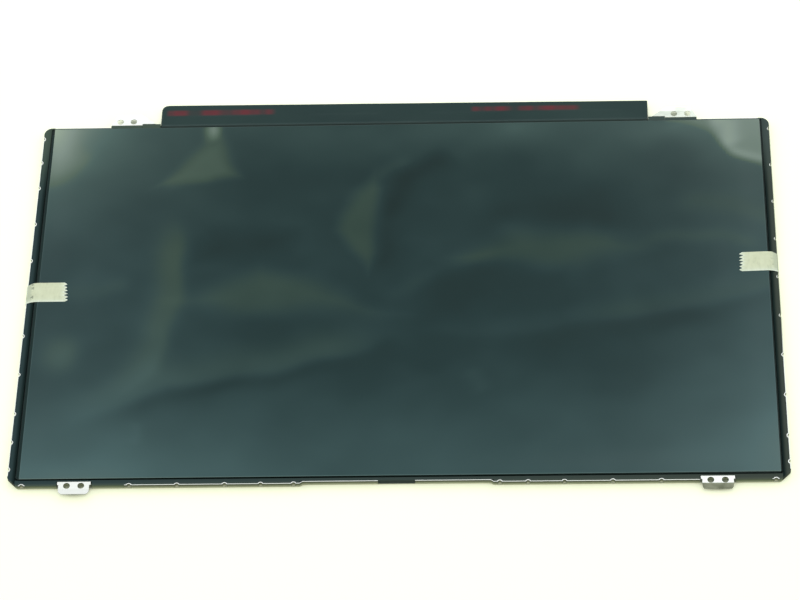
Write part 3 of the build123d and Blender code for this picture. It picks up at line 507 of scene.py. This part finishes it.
coil_sections = [
    ((-0.46, -0.5, -0.5), (0.46, 0.5, -0.22)),
    ((-0.44, -0.44, -0.24), (0.44, 0.44, 0.3)),
    ((-0.46, -0.5, 0.28), (0.46, 0.5, 0.5)),
]
coil_core = bevelled_block("coil_core", coil_sections, 0.04)
for name, node, body, ends, ceramic, slot in (
    ("capacitor_rows", "capacitors", ceramic_middle, cap_ends, "capacitor_ceramic", "capacitor_tan"),
    ("resistor_rows", "resistors", ceramic_middle, cap_ends, "resistor_glaze", "resistor_black"),
    ("power_coils", "power_inductors", coil_core, coil_ends, "coil_ferrite", "inductor_grey"),
):
    solder_row(soldered_row, name, node, body, ends, ceramics[ceramic], solder)
for pattern in (cap_ends, ceramic_middle, coil_ends, coil_core):
    bpy.data.objects.remove(pattern)


# Signal socket
# The display cable plugs into a low ivory socket with a tinned steel shell and thirty gilded contacts,
# soldered to the board's rear face.

socket_ivory, tree, shader, place = new_finish("ivory_socket", 0.45)
ivory = tint(tree, mottle(tree, place, 0.003), (0.3, (224, 218, 198)), (0.7, (236, 231, 214)))
tree.links.new(ivory, shader.inputs["Base Color"])
relief(tree, shader, mottle(tree, place, 0.0002), 0.00001, 0.4)
dress(socket_ivory, "signal_socket_housing")

socket_steel, tree, shader, place = new_finish("tinned_shell", 0.3, 1.0)
draw = mottle(tree, place, 0.0004, (0.05, 1, 1))
tree.links.new(tint(tree, draw, (0.3, (200, 200, 197)), (0.7, (224, 224, 220))), shader.inputs["Base Color"])
tree.links.new(between(tree, draw, 0.3, 0.7, 0.24, 0.38), shader.inputs["Roughness"])
dress(socket_steel, "signal_socket_shell")

contact_gold, tree, shader, place = new_finish("gilded_contact", 0.25, 1.0)
gilt = mottle(tree, place, 0.0005)
tree.links.new(tint(tree, gilt, (0.3, (226, 186, 104)), (0.7, (244, 212, 140))), shader.inputs["Base Color"])
dress(contact_gold, "signal_socket_contacts")


# Board cover film
# A strip of black satin film covers the board and the driver films. It is stuck to the cell's ledge, dips
# over the gap to the board, and shows the edges of what lies beneath as faint steps.

def grid_mesh(name, columns, rows, top, bottom):
    """A closed thin sheet from two grids of points of the same shape, with its four edges."""
    count = columns * rows
    verts = np.concatenate([top.reshape(-1, 3), bottom.reshape(-1, 3)])
    faces = []
    for j in range(rows - 1):
        for i in range(columns - 1):
            a = j * columns + i
            faces.append((a, a + 1, a + columns + 1, a + columns))
            faces.append((count + a, count + a + columns, count + a + columns + 1, count + a + 1))
    rim = list(range(columns)) + [j * columns + columns - 1 for j in range(1, rows)]
    rim += [(rows - 1) * columns + i for i in range(columns - 2, -1, -1)]
    rim += [j * columns for j in range(rows - 2, 0, -1)]
    for a, b in zip(rim, rim[1:] + rim[:1]):
        faces.append((a, count + a, count + b, b))
    mesh = bpy.data.meshes.new(name)
    mesh.from_pydata([tuple(v) for v in verts], [], faces)
    for polygon in mesh.polygons[: -len(rim)]:
        polygon.use_smooth = True
    return mesh


def swell(value, low, high):
    """Smooth rise from 0 to 1 between two places."""
    t = np.clip((value - low) / (high - low), 0, 1)
    return t * t * (3 - 2 * t)


def drift(x, y, seed):
    """Smooth random values between about -0.7 and 0.7 at places x and y, whose waves are about 1 long."""
    flat = [noise.noise(Vector((a, b, seed))) for a, b in zip(x.ravel(), y.ravel())]
    return np.array(flat).reshape(x.shape)


def add_piece(name, mesh, material, slot, *nodes):
    """A finished piece in the scene, riding on the body in place of its CAD nodes."""
    piece = bpy.data.objects.new(name, mesh)
    mesh.materials.append(material)
    bpy.context.scene.collection.objects.link(piece)
    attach(piece, "root")
    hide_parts(*nodes)
    return piece


dash_fields = ((-0.1055, -0.0585, 0.1007, 0.1037), (0.0300, 0.0775, 0.1008, 0.1034))
ledge_end, slope_end = 0.0939, 0.0957
outer_fall, outer_rows = 0.00124, 0.1030
round_left, round_right = 0.0030, 0.0004
cover_thickness, ledge_height, board_drop = 0.00008, 0.00254, 0.00079
driver_step, driver_fade, sag = 0.00005, 0.0012, 0.00007

cover_film, tree, shader, place = new_finish("black_cover_film", 0.34, Specular_IOR_Level=0.12)
spot = split(tree, place)
ink = None
for left, right, low, high in dash_fields:
    field = times(
        tree, between(tree, spot["X"], left - 0.0015, left + 0.001),
        between(tree, spot["X"], right - 0.001, right + 0.0015, 1.0, 0.0),
        between(tree, spot["Y"], low - 0.0006, low + 0.0007),
        between(tree, spot["Y"], high - 0.0007, high + 0.0006, 1.0, 0.0),
    )
    ink = field if ink is None else maths(tree, "ADD", ink, field)
dash = between(tree, mottle(tree, place, 0.0075, (1, 0.0, 0.0), 1.0), 0.26, 0.66)
ink = times(tree, ink, dash, 0.62)
worn = mottle(tree, place, 0.03, (0.5, 1, 1))
ground = tint(tree, worn, (0.3, (32, 52, 53)), (0.7, (42, 62, 61)))
# Painted shade: the film on the ledge, next to the display's head edge, is drawn darker as a shadow line.
ledge_shade = tint(tree, worn, (0.3, (10, 30, 27)), (0.7, (16, 36, 32)))
ground = mixed(tree, between(tree, spot["Y"], 0.0938, 0.0950), ledge_shade, ground)
dash_red = tint(tree, worn, (0.3, (116, 30, 45)), (0.7, (128, 34, 50)))
tree.links.new(mixed(tree, ink, ground, dash_red), shader.inputs["Base Color"])
satin = mottle(tree, place, 0.00025)
tree.links.new(between(tree, satin, 0.3, 0.7, 0.28, 0.42), shader.inputs["Roughness"])
relief(tree, shader, satin, 0.000012, 0.35)

low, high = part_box("board_cover_film")
rows_y = np.concatenate([
    np.linspace(low.y, ledge_end, 5), np.linspace(ledge_end + 0.0002, slope_end, 9),
    np.linspace(slope_end + 0.0004, outer_rows, 14), np.linspace(outer_rows + 0.0004, high.y, 18),
])
share = np.linspace(0, 1, 261)
film_x = np.zeros((len(rows_y), len(share)))
film_y = np.zeros_like(film_x)
for j, y in enumerate(rows_y):
    ends = []
    for radius in (round_left, round_right):
        past = max(0.0, y - (high.y - radius))
        ends.append(radius - np.sqrt(max(radius * radius - past * past, 0.0)))
    film_x[j] = low.x + ends[0] + share * (high.x - ends[1] - low.x - ends[0])
    beyond = max(0.0, y - slope_end) / (high.y - slope_end)
    film_y[j] = y - outer_fall * beyond * (film_x[j] - low.x) / (high.x - low.x)
dip = swell(film_y, ledge_end, slope_end)
under = ledge_height - dip * board_drop
for node in ("driver_film_1", "driver_film_2", "driver_film_3", "driver_film_4"):
    near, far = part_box(node)
    lifted = swell(film_x, near.x - driver_fade, near.x) * (1 - swell(film_x, far.x, far.x + driver_fade))
    under = under + driver_step * lifted * (1 - swell(film_y, far.y - 0.0004, far.y + 0.0008))
under = under + sag * (drift(film_x * 38, film_y * 90, 3.1) + 0.6) * dip
top, bottom = (np.stack([film_x, film_y, z], -1) for z in (under + cover_thickness, under))
cover_mesh = grid_mesh("cover_film", len(share), len(rows_y), top, bottom)
cover = add_piece("cover_film", cover_mesh, cover_film, "cover_film_black", "board_cover_film")


# Protective film
# A thin soft clear film clings to the whole display. The sheet is drawn opaque, in the tone of the dark
# display seen through it. Its paler parts are painted reflections of the tent's bright openings and soft
# painted glows towards the corners and edges, with painted light and shade along its creases. Where it has
# partly come unstuck, at corners and creases, it is also paler and less glossy.

def crease(x, y, points, left, right):
    """A soft mark along a line of points, 1 at its middle, fading over left and right on its two sides."""
    runs = [np.hypot(b[0] - a[0], b[1] - a[1]) for a, b in zip(points, points[1:])]
    near = np.full(x.shape, 1e9)
    side, along = np.zeros(x.shape), np.zeros(x.shape)
    before = 0.0
    for a, b, run in zip(points, points[1:], runs):
        step = ((b[0] - a[0]) / run, (b[1] - a[1]) / run)
        t = np.clip((x - a[0]) * step[0] + (y - a[1]) * step[1], 0, run)
        gap = np.hypot(x - a[0] - t * step[0], y - a[1] - t * step[1])
        closer = gap < near
        side = np.where(closer, step[0] * (y - a[1]) - step[1] * (x - a[0]), side)
        along = np.where(closer, (before + t) / sum(runs), along)
        near = np.where(closer, gap, near)
        before += run
    fade = swell(np.minimum(along, 1 - along), 0.0, 0.25)
    return fade * np.exp(-((near / np.where(side > 0, left, right)) ** 2))


def area(x, y, corners, soft):
    """A patch with no hollow corner, given anticlockwise: 1 inside and 0 outside, with a soft edge."""
    depth = np.full(x.shape, 1e9)
    for a, b in zip(corners, corners[1:] + corners[:1]):
        run = np.hypot(b[0] - a[0], b[1] - a[1])
        depth = np.minimum(depth, ((b[0] - a[0]) * (y - a[1]) - (b[1] - a[1]) * (x - a[0])) / run)
    return swell(depth, -soft, soft)


def halo(x, y, middle, reach):
    """A glow that falls away from its middle over its reach across and up."""
    return np.exp(-np.hypot((x - middle[0]) / reach[0], (y - middle[1]) / reach[1]))


def sheen_and_lifts(x, y):
    """Haze with painted reflections all over, and painted crease light on lifts; places in millimetres."""
    haze_and_sheen = 0.04 + 0.013 * drift(x / 34, y / 24, 4.2) + 0.005 * drift(x / 12, y / 9, 9.6)
    x, y = x + 5 * drift(x / 26, y / 26, 1.3), y + 5 * drift(x / 26, y / 26, 7.9)
    for middle, reach, amount in (
        ((-160, 100), (12, 16), 0.92),
        ((166, 100), (15, 18), 0.20),
        ((162, -64), (30, 40), 0.068),
        ((162, -96), (14, 24), 0.072),
        ((-124, -99), (38, 15), 0.12),
        ((51, 93), (15, 9), 0.048),
        ((120, 88), (24, 10), 0.064),
    ):
        haze_and_sheen += amount * halo(x, y, middle, reach)
    haze_and_sheen += 0.022 * swell(-x, 60, 140) + 0.030 * swell(y, 60, 98) + 0.022 * swell(x, 105, 158)
    haze_and_sheen += 0.052 * swell(-y, 25, 95)
    lifts_and_crease_light = 0.05 * np.exp(-np.hypot((x + 143) / 7, (y + 27) / 8) ** 2)
    for corners, soft, amount in (
        ([(-105, 64), (-71.5, 64.5), (-80, 84), (-85, 84)], 4.5, 0.058),
        ([(-16, 14), (-12, 22), (-11, 58), (-14, 62), (-21, 55), (-26.5, 37), (-22.5, 23)], 4.5, 0.034),
        ([(-90, -1), (-72, -8), (-46, -9), (-12, -7), (-46, 10), (-58, 15)], 8.0, 0.034),
        ([(-87, 20), (-48, 26), (-46, 34), (-68, 38), (-86, 36)], 8.0, -0.024),
        ([(28, 19), (46, 16), (78, 16), (102, 23), (92, 32), (68, 37), (46, 33)], 8.5, 0.029),
        ([(12, -12), (67, -12), (67, 12), (12, 12)], 9.0, -0.014),
        ([(134.5, 98), (136, 91.5), (143.5, 77.5), (159, 66.5), (170, 98)], 3.0, 0.170),
        ([(113, 98), (117, 92.5), (138, 85.5), (142, 98)], 3.0, 0.115),
    ):
        lifts_and_crease_light += amount * area(x, y, corners, soft)
    for points, left, right, amount in (
        ([(-82.6, 112), (-82.4, 95), (-82.6, 83)], 2.2, 2.6, 0.230),
        ([(-108, 60.5), (-95, 62.5), (-80, 64.5)], 3.6, 2.6, 0.014),
        ([(24, 77), (13, 70), (2, 62), (-5, 51), (-8, 38)], 7.0, 6.0, -0.030),
        ([(-14, 61), (-5, 68), (4, 74)], 4.0, 3.0, 0.014),
        ([(-4, 54), (-8, 38), (-9, 22), (-11, 8)], 5.0, 4.0, -0.012),
        (
            [(-101, 52), (-96.6, 23), (-96.7, 7), (-98, -9), (-101, -24), (-107, -37), (-124, -55)],
            3.8, 9.0, 0.036,
        ),
        (
            [(4, -16), (-29, -29), (-62, -39), (-83, -40), (-100, -42), (-112, -50), (-150, -72)],
            4.5, 12.0, 0.036,
        ),
        ([(2, -23), (-29, -35), (-62, -45), (-84, -47), (-104, -52), (-132, -68)], 5.0, 6.0, -0.014),
        ([(-8, -3), (14, 9), (29, 17), (44, 25)], 5.0, 4.5, 0.013),
        ([(30, 32), (44, 42), (62, 46), (84, 45), (104, 31)], 8.0, 6.0, -0.018),
        ([(0, -20), (46, -19), (88, -13), (120, -7)], 7.0, 3.4, 0.007),
        ([(70, -16), (110, -9), (131, -5), (148, -1), (180, 16)], 10.0, 3.8, 0.017),
        ([(30, -25), (67, -22), (110, -15), (148, -7), (176, 8)], 5.0, 7.0, -0.013),
        ([(96, 25), (119, 30), (136, 29.6), (160, 21)], 5.0, 5.0, 0.018),
        ([(110, 51), (139, 46), (172, 40)], 6.0, 6.0, 0.018),
        ([(136, 91), (139.5, 84), (148, 76.5), (158, 68), (172, 58)], 3.0, 2.2, 0.090),
        ([(139, 97), (144, 90), (146, 79)], 5.0, 4.5, 0.190),
        ([(142, 79), (150, 74.5), (161, 68)], 3.0, 3.0, 0.050),
        ([(-161, 116), (-157, 88), (-153, 70), (-151, 55)], 9.0, 7.0, 0.130),
        ([(-158, 82), (-146, 78), (-136, 72)], 7.0, 7.0, 0.026),
        ([(-150, 6), (-132, 3), (-114, 5)], 7.0, 5.0, 0.014),
        ([(-158, -58), (-138, -52), (-118, -46)], 5.0, 5.0, 0.006),
        ([(-112, -76), (-110, -70), (-110, -62)], 2.6, 2.2, 0.014),
        ([(30, -36), (34, -46), (36, -54)], 5.0, 5.0, 0.012),
    ):
        lifts_and_crease_light += amount * crease(x, y, points, left, right)
    return haze_and_sheen, lifts_and_crease_light


def film_height(x, y):
    """Gentle waves and creases of the film above its lowest lie, in millimetres."""
    high = 0.05 + 0.016 * np.sin(x / 21 + y / 34) + 0.014 * np.sin(x / 37 - y / 17 + 1.1)
    high += 0.012 * np.sin(y / 13 + x / 60)
    for points, left, right, amount in (
        ([(130.5, 98), (138.4, 84.6), (148, 76.5), (172, 58)], 4.0, 3.0, 0.06),
        ([(20, 77), (-9, 44), (-14, 8)], 5.0, 5.0, 0.04),
        ([(-106, 60), (-85, 66), (-72, 63)], 5.0, 4.0, 0.03),
        ([(-101, 52), (-96.6, 7), (-107, -37), (-140, -64)], 5.0, 6.0, 0.04),
        ([(0, -17), (-62, -39), (-100, -42), (-172, -81)], 4.0, 6.0, 0.05),
        ([(8, -20), (88, -13), (176, 14)], 5.0, 4.0, 0.04),
    ):
        high += amount * crease(x, y, points, left, right)
    return high


film_thickness, film_gap = 0.00006, 0.00001
cut_width, hold_width, inset = 0.0005, 0.012, 0.002
low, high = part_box("protective_film")
cut_steps = np.array([0.0, 0.00018, 0.00045, 0.0009])
film_columns = np.concatenate([
    low.x + cut_steps, np.linspace(low.x + inset, high.x - inset, 224), high.x - cut_steps[::-1],
])
film_rows = np.concatenate([
    low.y + cut_steps, np.linspace(low.y + inset, high.y - inset, 134), high.y - cut_steps[::-1],
])
film_x, film_y = np.meshgrid(film_columns, film_rows)
border = np.minimum.reduce([film_x - low.x, high.x - film_x, film_y - low.y, high.y - film_y])
sides = np.minimum(film_x - low.x, high.x - film_x)
# Painted highlight: a light line along the film's cut foot edge, fainter along its sides.
glint_along_cut = np.maximum(
    1 - swell(film_y - low.y, 0.0, cut_width), 0.2 * (1 - swell(sides, 0.0, cut_width))
)
across, up = (film_x - low.x) / (high.x - low.x), (film_y - low.y) / (high.y - low.y)
film_x = film_x + 0.00015 * (1 - across) * (1 - 2 * up)
film_y = film_y - (1 - up) * (0.0002 - 0.0004 * across)
held = swell(border, 0.0, hold_width)
for node in ("film_tape_left", "film_tape_right"):
    near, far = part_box(node)
    beyond = np.maximum(
        np.abs(film_x - (near.x + far.x) / 2) - (far.x - near.x) / 2,
        np.abs(film_y - (near.y + far.y) / 2) - (far.y - near.y) / 2,
    )
    held = held * swell(beyond, 0.0005, hold_width)
under = low.z + film_gap + 0.001 * film_height(film_x * 1000, film_y * 1000) * held
top, bottom = (np.stack([film_x, film_y, z], -1) for z in (under + film_thickness, under))
film_mesh = grid_mesh("display_film", len(film_columns), len(film_rows), top, bottom)
haze_and_sheen, lifts_and_crease_light = sheen_and_lifts(film_x * 1000, film_y * 1000)
for label, values in (("loose_and_sheen", haze_and_sheen + lifts_and_crease_light), ("lifts_and_crease_light", lifts_and_crease_light), ("edge_glint", glint_along_cut)):
    layer = film_mesh.attributes.new(label, "FLOAT", "POINT")
    layer.data.foreach_set("value", np.concatenate([values.ravel(), values.ravel()]).astype(np.float32))

film_clear, tree, shader, place = new_finish("clinging_clear_film", 0.16, IOR=1.44, Specular_IOR_Level=0.42)
patch = tree.nodes.new("ShaderNodeAttribute")
patch.attribute_name = "loose_and_sheen"
lifted = tree.nodes.new("ShaderNodeAttribute")
lifted.attribute_name = "lifts_and_crease_light"
cut = tree.nodes.new("ShaderNodeAttribute")
cut.attribute_name = "edge_glint"
breath = mottle(tree, place, 0.045, (1, 1, 0.0), 2.0)
pale = maths(tree, "ADD", patch.outputs["Fac"], times(tree, maths(tree, "SUBTRACT", breath, 0.5), 0.03))
pale = maths(tree, "ADD", pale, times(tree, cut.outputs["Fac"], 0.16))
# Each tone runs from the dark display at 0 to painted reflection at its pale end; the foot, the head and the
# creases in the lower half have their own casts.
foot_tone = tint(
    tree, pale, (0.0, (4, 33, 32)), (0.04, (20, 48, 50)), (0.16, (67, 95, 98)), (0.44, (115, 132, 124)),
    (1.0, (170, 186, 164)),
)
head_tone = tint(
    tree, pale, (0.0, (4, 33, 33)), (0.04, (21, 48, 49)), (0.16, (70, 95, 92)), (0.44, (120, 137, 127)),
    (1.0, (170, 186, 164)),
)
lifted_tone = tint(
    tree, pale, (0.0, (4, 33, 30)), (0.04, (24, 50, 44)), (0.16, (75, 96, 84)), (0.44, (123, 139, 132)),
    (1.0, (170, 186, 164)),
)
spot = split(tree, place)
toward_head = between(tree, spot["Y"], 0.0, 0.08)
tone = mixed(tree, toward_head, foot_tone, head_tone)
warmth = times(
    tree, between(tree, lifted.outputs["Fac"], 0.002, 0.04), between(tree, spot["Y"], -0.08, 0.03)
)
tone = mixed(tree, warmth, tone, lifted_tone)
tree.links.new(tone, shader.inputs["Base Color"])
tree.links.new(between(tree, pale, 0.04, 0.44, 0.13, 0.26), shader.inputs["Roughness"])
relief(tree, shader, mottle(tree, place, 0.009, (1, 0.5, 0.0), 2.0), 0.00002, 0.25)
display_film = add_piece("display_film", film_mesh, film_clear, "film_clear", "protective_film")


# Film tapes
# Two strips of cream crepe tape hold the film at its sides. Each is stuck to the film, bends down over the
# rim, loosely round the steel wall and under the panel, and its free end is torn on a toothed blade.

tape_thickness, tooth_count = 0.00006, 6
outer_shade_from, pinch_inner, pinch_outer = (0.1576, 0.1592), (0.1571, 0.1575), (0.1583, 0.1588)
bare_width, torn_reach, torn_loss = 0.0008, 0.008, 0.0015
under_level = 0.00013

tape_cream, tree, shader, place = new_finish("cream_crepe_tape", 0.62, Specular_IOR_Level=0.3)
crepe = mottle(tree, place, 0.0011, (1, 0.35, 1), 3.0)
blot = mottle(tree, place, 0.0034, (1, 1, 1), 2.0)
paper = maths(tree, "ADD", times(tree, crepe, 0.5), times(tree, blot, 0.5))
cream = tint(tree, paper, (0.28, (194, 200, 172)), (0.45, (212, 217, 189)), (0.7, (221, 226, 199)))
spot = split(tree, place)
from_middle = maths(tree, "ABSOLUTE", spot["X"], 0.0)
# Painted shade: the part of the tape that bends down over the rim and wall is drawn greyer.
outer_band_shade = tint(tree, paper, (0.3, (184, 192, 168)), (0.7, (198, 205, 182)))
cream = mixed(tree, between(tree, from_middle, *outer_shade_from), cream, outer_band_shade)
crumple = mottle(tree, place, 0.0013, (0.5, 0.9, 0.0), 2.0)
pinch = times(
    tree, between(tree, from_middle, *pinch_inner), between(tree, from_middle, *pinch_outer, 1.0, 0.0),
    between(tree, crumple, 0.46, 0.62), between(tree, spot["X"], -0.05, 0.05, 1.0, 0.3),
)
shaded = tint(tree, blot, (0.3, (142, 150, 130)), (0.7, (160, 167, 146)))
cream = mixed(tree, pinch, cream, shaded)
# The torn end and the lower edge are drawn near white: partly the paler paper of the edge, partly a painted
# highlight.
torn = tree.nodes.new("ShaderNodeAttribute")
torn.attribute_name = "edge_highlight"
pale_paper_and_highlight = tint(tree, crepe, (0.3, (224, 236, 222)), (0.7, (238, 246, 236)))
tree.links.new(mixed(tree, torn.outputs["Fac"], cream, pale_paper_and_highlight), shader.inputs["Base Color"])
tree.links.new(between(tree, crepe, 0.3, 0.7, 0.55, 0.72), shader.inputs["Roughness"])
relief(tree, shader, crepe, 0.00006, 0.45)

for name, node, side, bulge, lean, slant, seed in (
    ("left_tape", "film_tape_left", -1, 0.0003, 0.0, 0.00065, 2),
    ("right_tape", "film_tape_right", 1, 0.0001, 0.031, 0.0003, 9),
):
    low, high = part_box(node)
    wall, free = max(abs(low.x), abs(high.x)), min(abs(low.x), abs(high.x))
    mid, half = (low.y + high.y) / 2, (high.y - low.y) / 2
    spots = np.array([
        (free - 0.0012, 0.00314), (0.1554, 0.00315), (0.1562, 0.00310), (0.1574, 0.00288),
        (0.1588, 0.00277), (0.1598, 0.00272), (wall + 0.3 * bulge, 0.00252), (wall + 0.8 * bulge, 0.0020),
        (wall + bulge, 0.0013), (wall + 0.8 * bulge, 0.0007), (wall + 0.1 * bulge, 0.00024),
        (0.1594, under_level), (0.1533, under_level),
    ])
    length = np.concatenate([[0], np.cumsum(np.hypot(*np.diff(spots, axis=0).T))])
    steps = np.concatenate([
        np.linspace(0, length[1], 44)[:-1], np.linspace(length[1], length[-2], 60),
        np.linspace(length[-2], length[-1], 8)[1:],
    ])
    teeth = np.arange(2 * tooth_count + 1)
    jag = np.array([noise.noise(Vector((n * 1.7, seed, 0.3))) for n in teeth])
    knots = np.linspace(-half, half, len(teeth)) + 0.0003 * jag * (teeth % (2 * tooth_count) > 0)
    bites = np.where(teeth % 2 == 0, 0.0012 + 0.0008 * jag, 0.0004 * jag - 0.0003)
    tape_rows = np.linspace(-half, half, 109)
    top = np.zeros((len(tape_rows), len(steps), 3))
    bottom = np.zeros_like(top)
    edge_highlight = np.zeros(top.shape[:2])
    for j, across in enumerate(tape_rows):
        bite = 0.0011 + np.interp(across, knots, bites) + slant * across / half
        s = steps + bite * np.clip(1 - steps / torn_reach, 0, 1)
        x, z = np.interp(s, length, spots[:, 0]), np.interp(s, length, spots[:, 1])
        for _ in range(3):
            x[1:-1], z[1:-1] = (x[:-2] + 2 * x[1:-1] + x[2:]) / 4, (z[:-2] + 2 * z[1:-1] + z[2:]) / 4
        z = z + 0.00003 * drift(s * 520, np.full_like(s, across * 330), seed) * (s < length[4])
        drop = (0.00105 + 0.00035 * across / half) * swell(s, length[3], length[7])
        y = mid + across + lean * (s - length[1] / 2) - drop
        x_at, z_at = np.gradient(x, s), np.gradient(z, s)
        norm = np.hypot(x_at, z_at) + 1e-12
        inward, downward = tape_thickness * z_at / norm, tape_thickness * x_at / norm
        top[j] = np.stack([side * x, y, z], -1)
        bottom[j] = np.stack([side * (x + inward), y, z - downward], -1)
        edge_highlight[j] = np.maximum(np.exp(-(s - bite) / bare_width), np.exp(-(across + half) / bare_width))
    if side < 0:
        top, bottom, edge_highlight = top[:, ::-1], bottom[:, ::-1], edge_highlight[:, ::-1]
    mesh = grid_mesh(name, top.shape[1], top.shape[0], top, bottom)
    layer = mesh.attributes.new("edge_highlight", "FLOAT", "POINT")
    layer.data.foreach_set("value", np.concatenate([edge_highlight.ravel(), edge_highlight.ravel()]).astype(np.float32))
    tape = add_piece(name, mesh, tape_cream, "tape_cream", node)


# Table, light and camera
# The panel lies on its back on a white table, in a tent of soft light with brighter and darker openings behind
# it. The camera looks down on the screen from the foot side through a long lens.

table = bmesh.new()
bmesh.ops.create_grid(table, x_segments=2, y_segments=2, size=6.0)
table_mesh = bpy.data.meshes.new("white_table")
table.to_mesh(table_mesh)
table.free()
white_table = bpy.data.objects.new("white_table", table_mesh)
white_table.location.z = -0.00003
bpy.context.scene.collection.objects.link(white_table)
white_table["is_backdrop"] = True
table_white, tree, shader, place = new_finish("table_white", 0.7, Specular_IOR_Level=0.1)
depth = between(tree, split(tree, place)["Y"], -0.16, 0.16)
open_sky = tree.nodes.new("ShaderNodeAmbientOcclusion")
open_sky.inputs["Distance"].default_value = 0.008
exposed = open_sky.outputs["AO"]
# Painted shadow: where the ambient occlusion finds the panel close, the table's colour turns darker and its
# glow for camera rays fades.
lit = tint(tree, depth, (0.0, (230, 233, 214)), (1.0, (233, 235, 220)))
contact_shadow_tint = tint(tree, depth, (0.0, (140, 151, 141)), (1.0, (144, 154, 144)))
tree.links.new(mixed(tree, between(tree, exposed, 0.1, 0.5), contact_shadow_tint, lit), shader.inputs["Base Color"])
rays = tree.nodes.new("ShaderNodeLightPath")
seen = maths(tree, "MAXIMUM", rays.outputs["Is Glossy Ray"], rays.outputs["Is Transmission Ray"])
shader.inputs["Emission Color"].default_value = colour(252, 255, 224)
clear = between(tree, exposed, 0.2, 0.64, 0.0, 0.44)
straight = times(tree, rays.outputs["Is Camera Ray"], clear)
lift = maths(tree, "ADD", times(tree, seen, 0.1), straight)
tree.links.new(lift, shader.inputs["Emission Strength"])
table_mesh.materials.append(table_white)

world = bpy.data.worlds.new("soft_tent")
bpy.context.scene.world = world
world.use_nodes = True
tree = world.node_tree
sky = tree.nodes["Background"]
heading = tree.nodes.new("ShaderNodeTexCoord").outputs["Generated"]


def opening(towards, inner, outer, amount):
    """A soft round part of the tent, brighter or darker by amount; its edge runs between two cosines."""
    along = tree.nodes.new("ShaderNodeVectorMath")
    along.operation = "DOT_PRODUCT"
    along.inputs[1].default_value = Vector(towards).normalized()
    tree.links.new(heading, along.inputs[0])
    return between(tree, along.outputs["Value"], outer, inner, 0.0, amount)


rise = split(tree, heading)
behind = between(tree, rise["Y"], -0.45, 0.2)
low_band = times(tree, between(tree, rise["Z"], 0.22, 0.36), between(tree, rise["Z"], 0.62, 0.72, 1.0, 0.0))
glow = maths(tree, "ADD", times(tree, behind, 0.25), 0.66)
glow = maths(tree, "ADD", glow, times(tree, low_band, behind, 0.9))
core_cosine = 0.9985
for towards, outer_cosine, amount in (
    ((-0.049, 0.584, 0.81), 0.988, -0.36),
    ((-0.25, 0.655, 0.715), 0.985, 0.36),
    ((0.13, 0.685, 0.715), 0.988, 0.8),
    ((0.114, 0.456, 0.883), 0.988, 0.8),
):
    glow = maths(tree, "ADD", glow, opening(towards, core_cosine, outer_cosine, amount))
tree.links.new(glow, sky.inputs["Strength"])
tree.links.new(tint(tree, behind, (0.0, (253, 255, 236)), (1.0, (250, 255, 255))), sky.inputs["Color"])

picture_width_pixels, focal_pixels = 800, 3124.09
sensor_width = 36.0
camera_place = (0.06502, -0.77661, 1.0768)
camera_right = (0.998709, 0.018667, -0.047238)
camera_up = (0.012461, 0.811554, 0.584145)
camera_back = (0.04924, -0.58398, 0.810273)

lens = bpy.data.cameras.new("camera")
lens.sensor_width = sensor_width
lens.lens = focal_pixels / picture_width_pixels * sensor_width
camera = bpy.data.objects.new("camera", lens)
turn = Matrix((camera_right, camera_up, camera_back)).transposed()
camera.matrix_world = Matrix.Translation(camera_place) @ turn.to_4x4()
lens.clip_start, lens.clip_end = 0.01, 50.0
bpy.context.scene.collection.objects.link(camera)
bpy.context.scene.camera = camera
bpy.context.scene.view_settings.view_transform = "Standard"

low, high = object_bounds()
